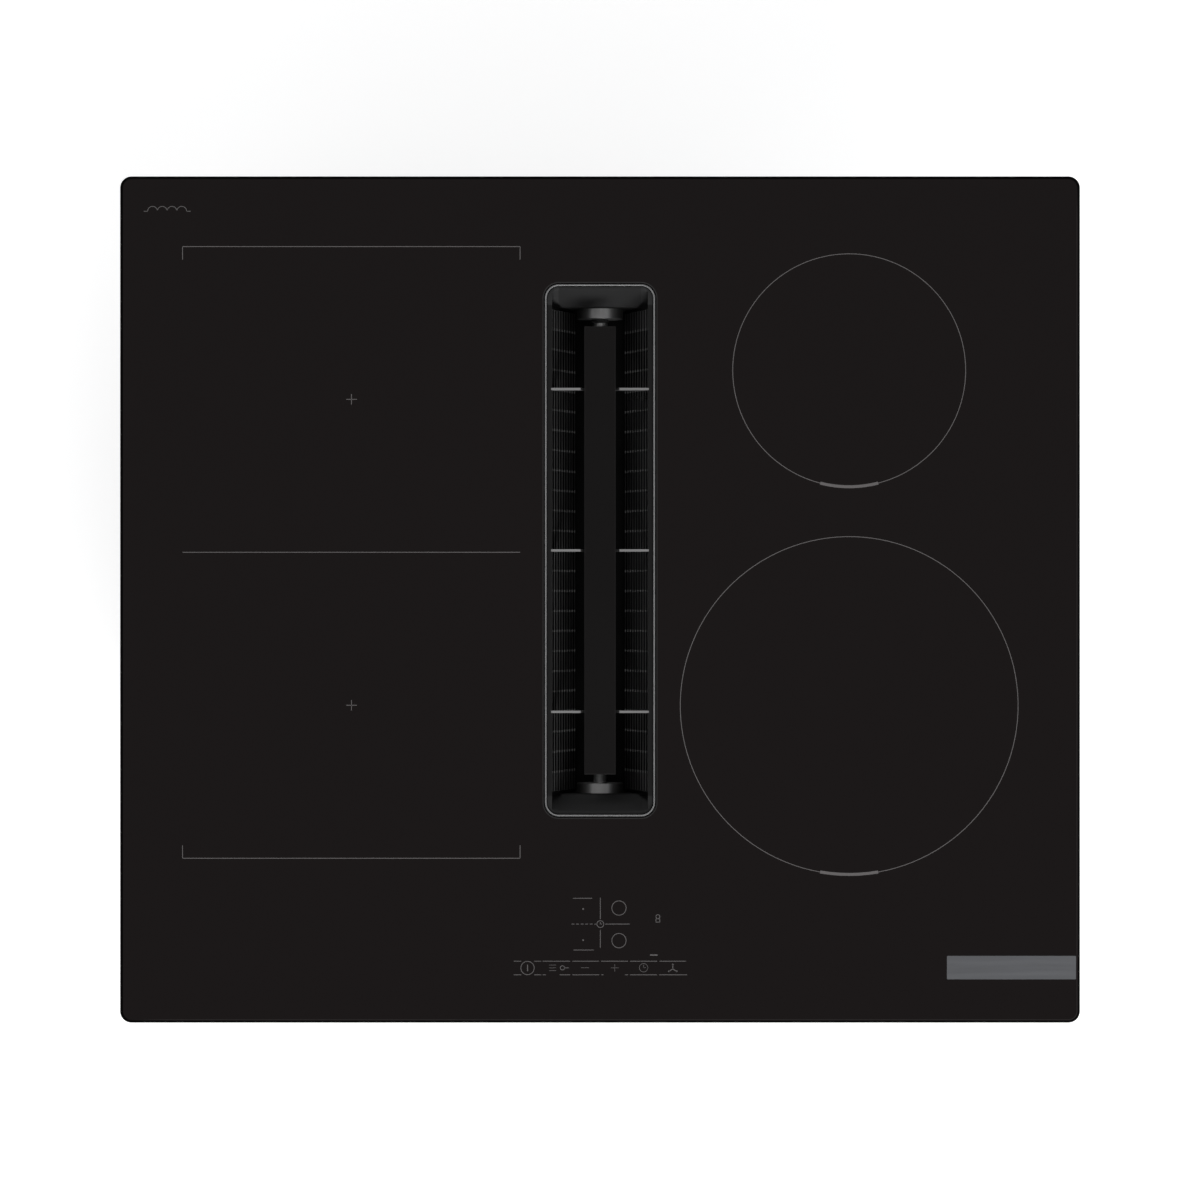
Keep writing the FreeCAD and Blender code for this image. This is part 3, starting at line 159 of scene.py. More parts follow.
def floor_paint():
    """Matt white paper that the camera and the glossy pieces see as white."""
    material = bpy.data.materials.new("studio_paper")
    material.use_nodes = True
    tree = material.node_tree
    shader = tree.nodes["Principled BSDF"]
    shader.inputs["Roughness"].default_value = 0.9
    shader.inputs["Specular IOR Level"].default_value = 0.0
    shader.inputs["Base Color"].default_value = (0.9, 0.9, 0.9, 1)
    shader.inputs["Emission Color"].default_value = (1, 1, 1, 1)
    ray = tree.nodes.new("ShaderNodeLightPath").outputs
    seen = arithmetic(tree, "MAXIMUM", ray["Is Camera Ray"], ray["Is Glossy Ray"])
    seen = arithmetic(tree, "MAXIMUM", seen, ray["Is Transmission Ray"])
    join(tree, arithmetic(tree, "MULTIPLY", seen, paper_glow), shader.inputs["Emission Strength"])
    return material


floor_mesh.materials.append(floor_paint())


def soft_lamp(name, place, size, power):
    """A square soft box that faces the cooktop."""
    lamp = bpy.data.lights.new(name, "AREA")
    lamp.size = size
    lamp.energy = power
    holder = bpy.data.objects.new(name, lamp)
    holder.location = place
    holder.rotation_euler = Vector(place).to_track_quat("Z", "Y").to_euler()
    scene.collection.objects.link(holder)


soft_lamp("soft_box_rear", (-0.6, 2.1, 1.9), 1.5, 14.0)
soft_lamp("soft_box_front", (0.7, -2.3, 1.7), 1.6, 46.0)


# The case: one sheet of zinc-coated steel, folded up into four walls with a narrow flange
# that carries the glass. Its coating shows flat crystals a few millimetres across.
def effect(name, inputs, outputs):
    """An empty node group with number, colour or vector sockets, to be filled in."""
    tree = bpy.data.node_groups.new(name, "ShaderNodeTree")
    for label, kind, value in inputs:
        socket = tree.interface.new_socket(label, in_out="INPUT", socket_type=kind)
        if value is not None:
            socket.default_value = value
    for label in outputs:
        tree.interface.new_socket(label, in_out="OUTPUT", socket_type="NodeSocketFloat")
    return tree, tree.nodes.new("NodeGroupInput"), tree.nodes.new("NodeGroupOutput")


def clouded(tree, place, pattern, scale, detail, share):
    """A pattern with this share of soft noise mixed over it; returns the new socket."""
    cloud = tree.nodes.new("ShaderNodeTexNoise")
    cloud.inputs["Scale"].default_value = scale
    cloud.inputs["Detail"].default_value = detail
    blend = tree.nodes.new("ShaderNodeMix")
    blend.inputs["Factor"].default_value = share
    join(tree, place, cloud.inputs["Vector"])
    join(tree, pattern, blend.inputs["A"])
    join(tree, cloud.outputs["Fac"], blend.inputs["B"])
    return blend.outputs["Result"]


def zinc_crystals():
    """Voronoi cells for the coating's crystals, with a faint cloud over them."""
    tree, given, result = effect(
        "zinc_crystals",
        [("Place", "NodeSocketVector", None), ("Scale", "NodeSocketFloat", 160.0)],
        ["Shade", "Height"],
    )
    cells = tree.nodes.new("ShaderNodeTexVoronoi")
    split = tree.nodes.new("ShaderNodeSeparateColor")
    join(tree, given.outputs["Place"], cells.inputs["Vector"])
    join(tree, given.outputs["Scale"], cells.inputs["Scale"])
    join(tree, cells.outputs["Color"], split.inputs["Color"])
    shade = clouded(tree, given.outputs["Place"], split.outputs["Red"], 22.0, 4.0, 0.35)
    join(tree, shade, result.inputs["Shade"])
    join(tree, cells.outputs["Distance"], result.inputs["Height"])
    return tree


crystals = zinc_crystals()


def new_finish(name, roughness, metallic=0.0, specular=0.5):
    """A material with its plain values on the shader, and the piece's own coordinates."""
    material = bpy.data.materials.new(name)
    material.use_nodes = True
    tree = material.node_tree
    shader = tree.nodes["Principled BSDF"]
    shader.inputs["Roughness"].default_value = roughness
    shader.inputs["Metallic"].default_value = metallic
    shader.inputs["Specular IOR Level"].default_value = specular
    place = tree.nodes.new("ShaderNodeTexCoord")
    return material, tree, shader, place.outputs["Object"]


def put_effect(tree, group, place, **values):
    """Places a node group in a material, with this material's own values."""
    node = tree.nodes.new("ShaderNodeGroup")
    node.node_tree = group
    join(tree, place, node.inputs["Place"])
    for label, value in values.items():
        node.inputs[label].default_value = value
    return node


def two_tone(tree, mask, low, high, socket):
    """Mixes two colours by a mask into a socket."""
    join(tree, mixed(tree, mask, low, high), socket)


def ranged(tree, value, start, end, low, high):
    """Carries a number from one range to another, held at its ends; returns the new socket."""
    span = tree.nodes.new("ShaderNodeMapRange")
    for label, bound in (("From Min", start), ("From Max", end), ("To Min", low), ("To Max", high)):
        span.inputs[label].default_value = bound
    join(tree, value, span.inputs["Value"])
    return span.outputs["Result"]


def spread(tree, mask, low, high, socket):
    """Turns a mask into a range of numbers for a socket."""
    join(tree, ranged(tree, mask, 0.0, 1.0, low, high), socket)


def relief(tree, height, depth, shader):
    """Raises the surface by a height, which is at most depth metres."""
    bump = tree.nodes.new("ShaderNodeBump")
    bump.inputs["Distance"].default_value = depth
    join(tree, height, bump.inputs["Height"])
    join(tree, bump.outputs["Normal"], shader.inputs["Normal"])


def dress(material, *nodes):
    """Gives a finish to nodes of the cooktop."""
    for node in nodes:
        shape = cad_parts[node].data
        shape.materials.clear()
        shape.materials.append(material)


zinc, tree, shader, place = new_finish("zinc_coated_sheet", 0.38, metallic=1.0)
marks = put_effect(tree, crystals, place, Scale=170.0)
two_tone(tree, marks.outputs["Shade"], (0.42, 0.43, 0.44), (0.62, 0.63, 0.64), shader.inputs["Base Color"])
spread(tree, marks.outputs["Shade"], 0.3, 0.5, shader.inputs["Roughness"])
relief(tree, marks.outputs["Height"], 0.00004, shader)
dress(zinc, "steel_case")


def placed(name, shape, material, body):
    """Makes a finished shape a piece of the cooktop, moving with one of its bodies."""
    mesh = bpy.data.meshes.new(name)
    shape.to_mesh(mesh)
    shape.free()
    mesh.materials.append(material)
    piece = bpy.data.objects.new(name, mesh)
    scene.collection.objects.link(piece)
    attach(piece, body)
    return piece


def slab(shape, low, high):
    """A block between two corners, in millimetres; returns its corners as vertices."""
    low, high = Vector(low) * mm, Vector(high) * mm
    place = Matrix.Translation((low + high) / 2) @ Matrix.Diagonal((*(high - low), 1))
    return bmesh.ops.create_cube(shape, size=1.0, matrix=place)["verts"]


# The flaps at the case's four corners: each wall's end is folded round onto the front or
# back wall and held by three spot welds, whose zinc is burnt to a dull grey.
flap_inner, flap_outer = 232.0, 264.0
flap_foot, flap_head = -57.0, -3.0
flap_thickness, flap_arris = 0.8, 0.3
weld_levels = (-13.0, -29.0, -45.0)
weld_radius, weld_crown_radius, weld_thickness = 2.6, 2.4, 0.2
weld_rim, weld_slope, weld_dent = 0.7, 0.6, 0.07
case_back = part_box("steel_case")[1].y / mm
flaps = bmesh.new()
welds = bmesh.new()
for wall in (-1, 1):
    skin, face_y = wall * case_back, wall * (case_back + flap_thickness)
    turn = Matrix.Rotation(math.radians(-90 * wall), 4, "X")
    for end in (-1, 1):
        near, far = sorted((end * flap_inner, end * flap_outer))
        slab(flaps, (near, min(skin, face_y), flap_foot), (far, max(skin, face_y), flap_head))
        for level in weld_levels:
            spot = Matrix.Translation(Vector(((near + far) / 2, face_y, level)) * mm) @ turn
            bmesh.ops.create_cone(
                welds, cap_ends=True, segments=20, radius1=weld_radius * mm,
                radius2=weld_crown_radius * mm, depth=weld_thickness * mm, matrix=spot,
            )
bmesh.ops.bevel(
    flaps, geom=flaps.edges[:], offset=flap_arris * mm, segments=2, profile=0.5, affect="EDGES",
    material=-1,
)
crown_level = (case_back + flap_thickness + weld_thickness / 4) * mm
for crown in [face for face in welds.faces if abs(face.calc_center_median().y) > crown_level]:
    bmesh.ops.inset_region(welds, faces=[crown], thickness=weld_rim * mm)
    bmesh.ops.inset_region(welds, faces=[crown], thickness=weld_slope * mm, depth=-weld_dent * mm)
placed("case_corner_flaps", flaps, zinc, "cooktop")
burnt_zinc, tree, shader, place = new_finish("burnt_zinc", 0.6, metallic=0.7)
marks = put_effect(tree, crystals, place, Scale=900.0)
two_tone(tree, marks.outputs["Shade"], (0.16, 0.16, 0.165), (0.34, 0.34, 0.35), shader.inputs["Base Color"])
relief(tree, marks.outputs["Height"], 0.00002, shader)
placed("case_spot_welds", welds, burnt_zinc, "cooktop")


# Inside the case: aluminium coil plates and heat sinks, straight from the mill, with faint
# rolling lines along them.
line_scale = 400.0


def vectorial(tree, operation, *terms):
    """A vector, or its length or dot product, worked out from sockets and vectors."""
    kind = "Value" if operation in ("LENGTH", "DOT_PRODUCT") else "Vector"
    return worked_out(tree, "ShaderNodeVectorMath", operation, terms)[kind]


def rolled_lines():
    """Noise stretched along one direction, as rolling, brushing or turning leaves."""
    tree, given, result = effect(
        "rolled_lines",
        [
            ("Place", "NodeSocketVector", None), ("Stretch", "NodeSocketVector", (1.0, 1.0, 1.0)),
            ("Scale", "NodeSocketFloat", 1.0),
        ],
        ["Shade", "Height"],
    )
    pulled = vectorial(tree, "MULTIPLY", given.outputs["Place"], given.outputs["Stretch"])
    fine = tree.nodes.new("ShaderNodeTexNoise")
    fine.inputs["Detail"].default_value = 6.0
    fine.inputs["Roughness"].default_value = 0.65
    join(tree, pulled, fine.inputs["Vector"])
    join(tree, given.outputs["Scale"], fine.inputs["Scale"])
    join(tree, fine.outputs["Fac"], result.inputs["Shade"])
    join(tree, fine.outputs["Fac"], result.inputs["Height"])
    return tree


lines = rolled_lines()


def lined_metal(name, low, high, roughness, stretch, depth, metallic=1.0):
    """A metal with fine lines in one direction."""
    material, tree, shader, place = new_finish(name, roughness, metallic=metallic)
    marks = put_effect(tree, lines, place, Stretch=stretch, Scale=line_scale)
    two_tone(tree, marks.outputs["Shade"], low, high, shader.inputs["Base Color"])
    spread(tree, marks.outputs["Shade"], roughness - 0.06, roughness + 0.1, shader.inputs["Roughness"])
    relief(tree, marks.outputs["Height"], depth, shader)
    return material


mill_aluminium = lined_metal(
    "mill_aluminium", (0.62, 0.62, 0.63), (0.8, 0.8, 0.81), 0.36, (1.0, 0.04, 1.0), 0.00001
)
dress(mill_aluminium, "coil_plate_left", "coil_plate_right", "heat_sink_left", "heat_sink_right")


# The printed circuit boards, green laminate with the cans and chokes that are soldered to
# them in grey sleeves, on stand-offs and holders moulded in white nylon.
def mould_grain():
    """Fine even grain, as spark-eroded moulds leave on plastic, under broad soft clouds."""
    tree, given, result = effect(
        "mould_grain",
        [("Place", "NodeSocketVector", None), ("Scale", "NodeSocketFloat", 900.0)],
        ["Shade", "Height"],
    )
    pits = tree.nodes.new("ShaderNodeTexNoise")
    pits.inputs["Detail"].default_value = 3.0
    join(tree, given.outputs["Place"], pits.inputs["Vector"])
    join(tree, given.outputs["Scale"], pits.inputs["Scale"])
    shade = clouded(tree, given.outputs["Place"], pits.outputs["Fac"], 9.0, 3.0, 0.5)
    join(tree, shade, result.inputs["Shade"])
    join(tree, pits.outputs["Fac"], result.inputs["Height"])
    return tree


grain = mould_grain()


def moulded(name, low, high, roughness, scale=900.0, depth=0.00003, specular=0.4):
    """Plastic, rubber or another moulded stuff with an even grain."""
    material, tree, shader, place = new_finish(name, roughness, specular=specular)
    marks = put_effect(tree, grain, place, Scale=scale)
    two_tone(tree, marks.outputs["Shade"], low, high, shader.inputs["Base Color"])
    spread(tree, marks.outputs["Shade"], roughness - 0.08, roughness + 0.08, shader.inputs["Roughness"])
    relief(tree, marks.outputs["Height"], depth, shader)
    return material


green_board = moulded("green_board", (0.01, 0.07, 0.03), (0.02, 0.12, 0.05), 0.35, 300.0, 0.00001)
component_grey = moulded("component_sleeves", (0.05, 0.05, 0.06), (0.09, 0.09, 0.1), 0.4)
white_nylon = moulded("white_nylon", (0.6, 0.6, 0.57), (0.75, 0.75, 0.72), 0.5)
dress(green_board, "power_board_left", "power_board_right", "control_board")
dress(component_grey, "board_components_left", "board_components_right", "zone_displays")
dress(white_nylon, "board_standoffs", "control_holder", "zone_temperature_sensors", "terminal_block")


# The induction coils: flat windings of enamelled copper strand on dark carriers, over bars
# of ferrite, pressed against the glass through felt pads.
def wound_copper(name, node):
    """Copper strand wound in rings about the middle of one coil."""
    low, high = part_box(node)
    middle = (low + high) / 2
    material, tree, shader, place = new_finish(name, 0.38, metallic=0.9)
    centre = tree.nodes.new("ShaderNodeMapping")
    centre.inputs["Location"].default_value = (-middle.x, -middle.y, -middle.z)
    rings = tree.nodes.new("ShaderNodeTexWave")
    rings.wave_type = "RINGS"
    rings.rings_direction = "Z"
    rings.inputs["Scale"].default_value = 62.0
    join(tree, place, centre.inputs["Vector"])
    join(tree, centre.outputs["Vector"], rings.inputs["Vector"])
    two_tone(tree, rings.outputs["Fac"], (0.1, 0.03, 0.015), (0.62, 0.25, 0.12), shader.inputs["Base Color"])
    relief(tree, rings.outputs["Fac"], 0.0005, shader)
    dress(material, node)


carrier_plastic = moulded("carrier_plastic", (0.012, 0.012, 0.013), (0.022, 0.022, 0.023), 0.5)
for corner in ("rear_left", "front_left", "rear_right", "front_right"):
    wound_copper("copper_" + corner, "coil_winding_" + corner)
    dress(carrier_plastic, "coil_carrier_" + corner)
ferrite = moulded("ferrite", (0.05, 0.05, 0.055), (0.1, 0.1, 0.11), 0.6, 500.0)
felt = moulded("needle_felt", (0.5, 0.49, 0.45), (0.7, 0.69, 0.64), 0.95, 350.0, 0.0003, 0.1)
dress(ferrite, "ferrite_bars")
dress(felt, "coil_felt_pads")


# The two cooling fans, moulded in glass-filled black nylon, and the small parts of bright
# zinc-plated wire: the springs under the touch keys and the hinge pin of the mains box.
fan_nylon = moulded("fan_nylon", (0.015, 0.015, 0.016), (0.03, 0.03, 0.032), 0.42)
bright_zinc = lined_metal("bright_zinc", (0.5, 0.5, 0.52), (0.68, 0.68, 0.7), 0.28, (1.0, 1.0, 0.3), 0.000008)
dress(
    fan_nylon, "cooling_fan_frame_left", "cooling_fan_frame_right",
    "cooling_fan_rotor_left", "cooling_fan_rotor_right",
)
dress(bright_zinc, "touch_key_springs", "terminal_hinge_pin")


# Four leaf springs on the case walls, which grip the cut-out: stainless strip, stamped and
# bent, then screwed on.
spring_steel = lined_metal("spring_steel", (0.5, 0.5, 0.5), (0.7, 0.7, 0.7), 0.25, (1.0, 1.0, 0.05), 0.000008)
dress(spring_steel, "side_spring_clips")


# The screws that hold the springs: zinc-plated, pressed from wire, with a low round head and
# a six-lobed recess.
head_rounding, recess_depth = 0.45, 0.6  # of the head's height
recess_margin = 0.3  # of the head's radius
lobe_waist = 0.76  # of the recess's radius, between two lobes


def screw_spots(node):
    """The middle and the size of each screw of a node, from left to right."""
    plain = bmesh.new()
    plain.from_mesh(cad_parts[node].data)
    bmesh.ops.remove_doubles(plain, verts=plain.verts[:], dist=0.01 * mm)
    spots = []
    waiting = set(plain.verts)
    while waiting:
        screw, reached = [], [waiting.pop()]
        while reached:
            vert = reached.pop()
            screw.append(vert.co.copy())
            for edge in vert.link_edges:
                other = edge.other_vert(vert)
                if other in waiting:
                    waiting.remove(other)
                    reached.append(other)
        low = Vector([min(point[axis] for point in screw) for axis in range(3)])
        high = Vector([max(point[axis] for point in screw) for axis in range(3)])
        spots.append(((low + high) / 2, high - low))
    plain.free()
    return sorted(spots, key=lambda spot: tuple(spot[0]))


def face_at(shape, point):
    """The face whose middle is nearest to a point."""
    return min(shape.faces, key=lambda face: (face.calc_center_median() - point).length)


def screw_heads(name, node, outward, radius, height):
    """One round head for each screw of a node; outward gives the way a screw's head points."""
    heads = bmesh.new()
    for middle, size in screw_spots(node):
        way = Vector(outward(middle))
        seat = middle - way * abs(size.dot(way)) / 2
        apex = seat + way * height
        turn = way.to_track_quat("Z", "Y").to_matrix().to_4x4()
        bmesh.ops.create_cone(
            heads, cap_ends=True, segments=24, radius1=radius, radius2=radius, depth=height,
            matrix=Matrix.Translation(seat) @ turn @ Matrix.Translation((0, 0, height / 2)),
        )
        bmesh.ops.bevel(
            heads, geom=face_at(heads, apex).edges[:], offset=head_rounding * height, segments=3,
            profile=0.5, affect="EDGES", material=-1,
        )
        crown = face_at(heads, apex)
        bmesh.ops.inset_region(heads, faces=[crown], thickness=recess_margin * radius)
        for index, vert in enumerate(crown.verts):
            if index % 4 < 2:
                vert.co = apex.lerp(vert.co, lobe_waist)
        sunk = bmesh.ops.extrude_discrete_faces(heads, faces=[crown])["faces"][0]
        bmesh.ops.translate(heads, verts=sunk.verts[:], vec=way * -recess_depth * height)
    piece = placed(name, heads, bright_zinc, "cooktop")
    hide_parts(node)


screw_heads(
    "clip_screw_heads", "spring_clip_screws", lambda middle: (math.copysign(1, middle.x), 0, 0),
    2.6 * mm, 1.8 * mm,
)


# The air housing: pocket, lid and ribbed tub, moulded in black polypropylene with a fine
# grain, screwed together and to the case.
black_housing = moulded("black_housing", (0.010, 0.010, 0.011), (0.020, 0.020, 0.021), 0.52, 700.0, 0.00005)
dress(
    black_housing, "air_housing_lid", "air_housing_tub", "inlet_pocket", "terminal_box", "terminal_box_cover"
)
screw_heads("housing_screw_heads", "air_housing_screws", lambda middle: (0, 0, -1), 3.4 * mm, 2.2 * mm)


# The lining of the mains box's cable gland: a soft black ring that the gland's nut squeezes
# round whatever cable is put through it.
gland_low, gland_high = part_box("terminal_box")
gland_x = (gland_low.x + gland_high.x) / 2
gland_z = -75.0 * mm
lining_profile = [  # radius, and depth behind the gland's end
    (8.9, 5.0), (8.9, 0.4), (8.3, 0.2), (7.4, 0.6), (6.9, 2.0), (7.4, 5.0),
]


def turned_ring(centre, profile, name, material, body):
    """A ring about an axis along Y: its profile in radius and place, in metres, spun round."""
    ring = bmesh.new()
    points = [ring.verts.new((centre[0] + radius, y, centre[1])) for radius, y in profile]
    glass_edge_painted_light = [ring.edges.new((points[index - 1], points[index])) for index in range(len(points))]
    bmesh.ops.spin(
        ring, geom=points + glass_edge_painted_light, cent=(centre[0], 0, centre[1]), axis=(0, 1, 0), angle=math.tau,
        steps=40, use_merge=True, use_duplicate=False,
    )
    bmesh.ops.recalc_face_normals(ring, faces=ring.faces[:])
    placed(name, ring, material, body)


black_rubber = moulded("black_rubber", (0.010, 0.010, 0.010), (0.018, 0.018, 0.018), 0.75, 500.0)
turned_ring(
    (gland_x, gland_z), [(radius * mm, gland_high.y - depth * mm) for radius, depth in lining_profile],
    "gland_lining", black_rubber, "cooktop",
)


# The blower: scroll, cover and impeller moulded in grey nylon, and a motor in an aluminium
# shell, which hangs on rubber dampers.
scroll_nylon = moulded("scroll_nylon", (0.02, 0.02, 0.022), (0.04, 0.04, 0.043), 0.45)
impeller_nylon = moulded("impeller_nylon", (0.16, 0.16, 0.17), (0.24, 0.24, 0.25), 0.45)
dress(scroll_nylon, "blower_scroll", "blower_cover", "duct_collar")
dress(impeller_nylon, "blower_impeller")
dress(mill_aluminium, "blower_motor")
dress(black_rubber, "motor_rubber_dampers", "container_seal")


# Two soft lips round the outlet collar, which seal it inside the flat duct, and the small
# screws that hold its flange on the tub's back.
collar_low, collar_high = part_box("duct_collar")
flange_reach, flange_thickness = 4.5, 3.0
flange_face = collar_low.y / mm + flange_thickness
tube_low = collar_low / mm + Vector((flange_reach, 0, flange_reach))
tube_high = collar_high / mm - Vector((flange_reach, 0, flange_reach))
lip_places = (3.5, 8.5)
lip_height, lip_width = 1.2, 1.6
lips = bmesh.new()
for lip_place in lip_places:
    lip_y = flange_face + lip_place
    corners = slab(
        lips, (tube_low.x - lip_height, lip_y, tube_low.z - lip_height),
        (tube_high.x + lip_height, lip_y + lip_width, tube_high.z + lip_height),
    )
    walls = {face for vert in corners for face in vert.link_faces}
    ends = [face for face in walls if abs(face.normal.y) > 0.5]
    for end in ends:
        bmesh.ops.inset_region(lips, faces=[end], thickness=lip_height * mm, use_even_offset=True)
    bmesh.ops.bridge_loops(lips, edges=[edge for end in ends for edge in end.edges])
    bmesh.ops.delete(lips, geom=ends, context="FACES_ONLY")
bmesh.ops.recalc_face_normals(lips, faces=lips.faces[:])
placed("duct_seal_lips", lips, black_rubber, "cooktop")

flange_screws = bmesh.new()
screw_inset = 2.3
screw_radius, screw_height, screw_rounding = 1.9, 1.4, 0.5
socket_margin, socket_slope, socket_depth = 0.5, 0.05, 0.7
screw_columns = (
    collar_low.x / mm + screw_inset, (collar_low.x + collar_high.x) / (2 * mm),
    collar_high.x / mm - screw_inset,
)
facing_back = Matrix.Rotation(math.radians(-90), 4, "X")
for x in screw_columns:
    for z in (collar_low.z / mm + screw_inset, collar_high.z / mm - screw_inset):
        middle = Vector((x, flange_face + screw_height / 2, z)) * mm
        bmesh.ops.create_cone(
            flange_screws, cap_ends=True, segments=20, radius1=screw_radius * mm,
            radius2=screw_radius * mm, depth=screw_height * mm,
            matrix=Matrix.Translation(middle) @ facing_back,
        )


def screw_crowns():
    """The round faces of the flange screws that point backwards."""
    return [
        face for face in flange_screws.faces
        if len(face.verts) > 4 and face.calc_center_median().y > (flange_face + screw_height / 2) * mm
    ]


rims = [edge for crown in screw_crowns() for edge in crown.edges]
bmesh.ops.bevel(
    flange_screws, geom=rims, offset=screw_rounding * mm, segments=3, profile=0.5, affect="EDGES",
    material=-1,
)
for crown in screw_crowns():
    bmesh.ops.inset_region(flange_screws, faces=[crown], thickness=socket_margin * mm)
    bmesh.ops.inset_region(
        flange_screws, faces=[crown], thickness=socket_slope * mm, depth=-socket_depth * mm
    )
placed("duct_flange_screws", flange_screws, bright_zinc, "cooktop")


# The overflow container, moulded in grey polypropylene. It drops out of the tub's floor to
# be emptied.
grey_container = moulded("grey_container", (0.06, 0.06, 0.063), (0.10, 0.10, 0.105), 0.45, 700.0)
dress(grey_container, "overflow_container")


# The lift-out filter unit. Its frame is black plastic; the webs, rod, hubs, mesh and trough
# are stainless steel, and the grip bar is steel with a black satin coating.
vent_low, vent_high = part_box("vent_silicone_joint")
vent_middle = (vent_low.y + vent_high.y) / 2
scoop_start = 151.5 * mm
scoop_depth = 20.0 * mm
scoop_corner, corner_half_width = 27.0 * mm, 1.6 * mm
# The scoops' painted light: tones for the rear scoop, the painted highlight in its rounded corners, the front
# scoop, and the rise towards their feet.
rear_painted_light, corner_painted_highlight, front_painted_light, foot_painted_light = 0.27, 0.22, 0.17, 0.3


def frame_plastic():
    """Black plastic, its two end scoops matt and a little lighter than the rails between them. That lightness
    is painted light: more on the rear scoop than on the front one, more towards their feet to lift the shade
    there, and a painted highlight in the rear one's rounded corners."""
    material, tree, shader, place = new_finish("frame_plastic", 0.42, specular=0.33)
    marks = put_effect(tree, grain, place, Scale=800.0)
    at = axes(tree, place)
    from_middle = arithmetic(tree, "SUBTRACT", at["Y"], vent_middle)
    on_rear = arithmetic(tree, "GREATER_THAN", from_middle, scoop_start)
    on_front = arithmetic(tree, "LESS_THAN", from_middle, -scoop_start)
    on_scoop = arithmetic(tree, "ADD", on_rear, on_front)
    aside = arithmetic(tree, "ABSOLUTE", at["X"])
    corner_highlight_mask = arithmetic(tree, "COMPARE", aside, scoop_corner, corner_half_width)
    painted_foot_light_mask = ranged(tree, at["Z"], 0.0, -scoop_depth, 0.0, foot_painted_light)
    # Painted light, added up: the rear scoop with its corner highlight, the front scoop, then the rise
    # towards both feet.
    rear = arithmetic(tree, "MULTIPLY_ADD", corner_highlight_mask, corner_painted_highlight, rear_painted_light)
    shade = arithmetic(tree, "MULTIPLY", on_rear, rear)
    shade = arithmetic(tree, "MULTIPLY_ADD", on_front, front_painted_light, shade)
    shade = arithmetic(tree, "MULTIPLY_ADD", painted_foot_light_mask, on_scoop, shade)
    shade = arithmetic(tree, "MULTIPLY_ADD", marks.outputs["Shade"], 0.1, shade)
    spread(tree, on_scoop, 0.42, 0.75, shader.inputs["Roughness"])
    two_tone(tree, shade, (0.0055, 0.0055, 0.0055), (0.062, 0.062, 0.063), shader.inputs["Base Color"])
    relief(tree, marks.outputs["Height"], 0.00002, shader)
    return material


grip_coating = moulded(
    "grip_coating", (0.0060, 0.0053, 0.0053), (0.0092, 0.0084, 0.0084), 0.38, 1200.0, 0.00001, 0.2
)
web_steel = lined_metal(
    "web_steel", (0.64, 0.64, 0.64), (0.82, 0.82, 0.82), 0.38, (0.05, 1.0, 1.0), 0.000008
)
lengthwise = (1.0, 0.05, 1.0)
turned_steel = lined_metal(
    "turned_steel", (0.3, 0.3, 0.3), (0.42, 0.42, 0.42), 0.5, lengthwise, 0.000008
)
hub_half_width = 14.0 * mm


def painted_highlight_hubs():
    """Turned steel with a painted highlight along the top of each hub, darker towards its sides, as light
    falls on a cylinder.
    """
    material, tree, shader, place = new_finish("painted_highlight_hubs", 0.42, metallic=1.0)
    marks = put_effect(tree, lines, place, Stretch=lengthwise, Scale=line_scale)
    # Painted highlight: lightest along the top of the hub, darker towards its sides.
    aside = arithmetic(tree, "ABSOLUTE", axes(tree, place)["X"])
    aside = arithmetic(tree, "MULTIPLY", aside, 1 / hub_half_width)
    painted_top_highlight = arithmetic(tree, "SUBTRACT", 1.0, arithmetic(tree, "POWER", aside, 2.0))
    painted_top_highlight = arithmetic(tree, "MULTIPLY", painted_top_highlight, 0.85)
    shade = arithmetic(tree, "MULTIPLY_ADD", marks.outputs["Shade"], 0.15, painted_top_highlight)
    two_tone(tree, shade, (0.26, 0.26, 0.26), (1.0, 1.0, 1.0), shader.inputs["Base Color"])
    relief(tree, marks.outputs["Height"], 0.000008, shader)
    return material


# The trough is stainless steel, painted near black for the shade it lies in deep under the meshes.
trough_painted_shade = moulded(
    "trough_painted_shade", (0.006, 0.006, 0.006), (0.011, 0.011, 0.011), 0.5, 700.0, 0.00002, 0.1
)
dress(frame_plastic(), "filter_frame")
dress(grip_coating, "grip_bar")
dress(web_steel, "filter_webs")
dress(turned_steel, "filter_tie_rod")
dress(painted_highlight_hubs(), "rod_hubs")
dress(trough_painted_shade, "grease_trough")


# Two rings on the rod in front of its rear hub: a bright steel stop, and a black rubber ring between it and
# the hub, whose black is painted shade where the hub shades the rod.
rod_low, rod_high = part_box("filter_tie_rod")
rod_level = (rod_low.z + rod_high.z) / 2
ring_bore, ring_arris = 3.9 * mm, 0.3 * mm


def rod_ring(name, radius, before, length, material):
    """A ring with broken edges round the rod, its front this far before the rod's rear end."""
    front = rod_high.y - before
    rear = front + length
    turned_ring(
        (0, rod_level),
        [
            (ring_bore, front), (radius - ring_arris, front), (radius, front + ring_arris),
            (radius, rear - ring_arris), (radius - ring_arris, rear), (ring_bore, rear),
        ],
        name, material, "filter_unit",
    )


rod_ring("rod_stop_ring", 4.6 * mm, 5.1 * mm, 2.9 * mm, web_steel)
# Painted shade: the black ring stands where the hub shades the rod.
rod_ring("rod_painted_shade_ring", 5.5 * mm, 2.1 * mm, 1.9 * mm, black_rubber)


# The two sloping meshes: ladders of dull steel slats, welded across ladders of ribs behind them, which are
# painted near black for the shade they stand in.
rib_pitch = 12.462 * mm
mesh_head = Vector((29.6, -1.5)) * mm
mesh_foot = Vector((15.6, -46.0)) * mm
mesh_half_length = 143.0 * mm
slat_depth = 0.5 * mm
trough_low, trough_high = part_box("grease_trough")
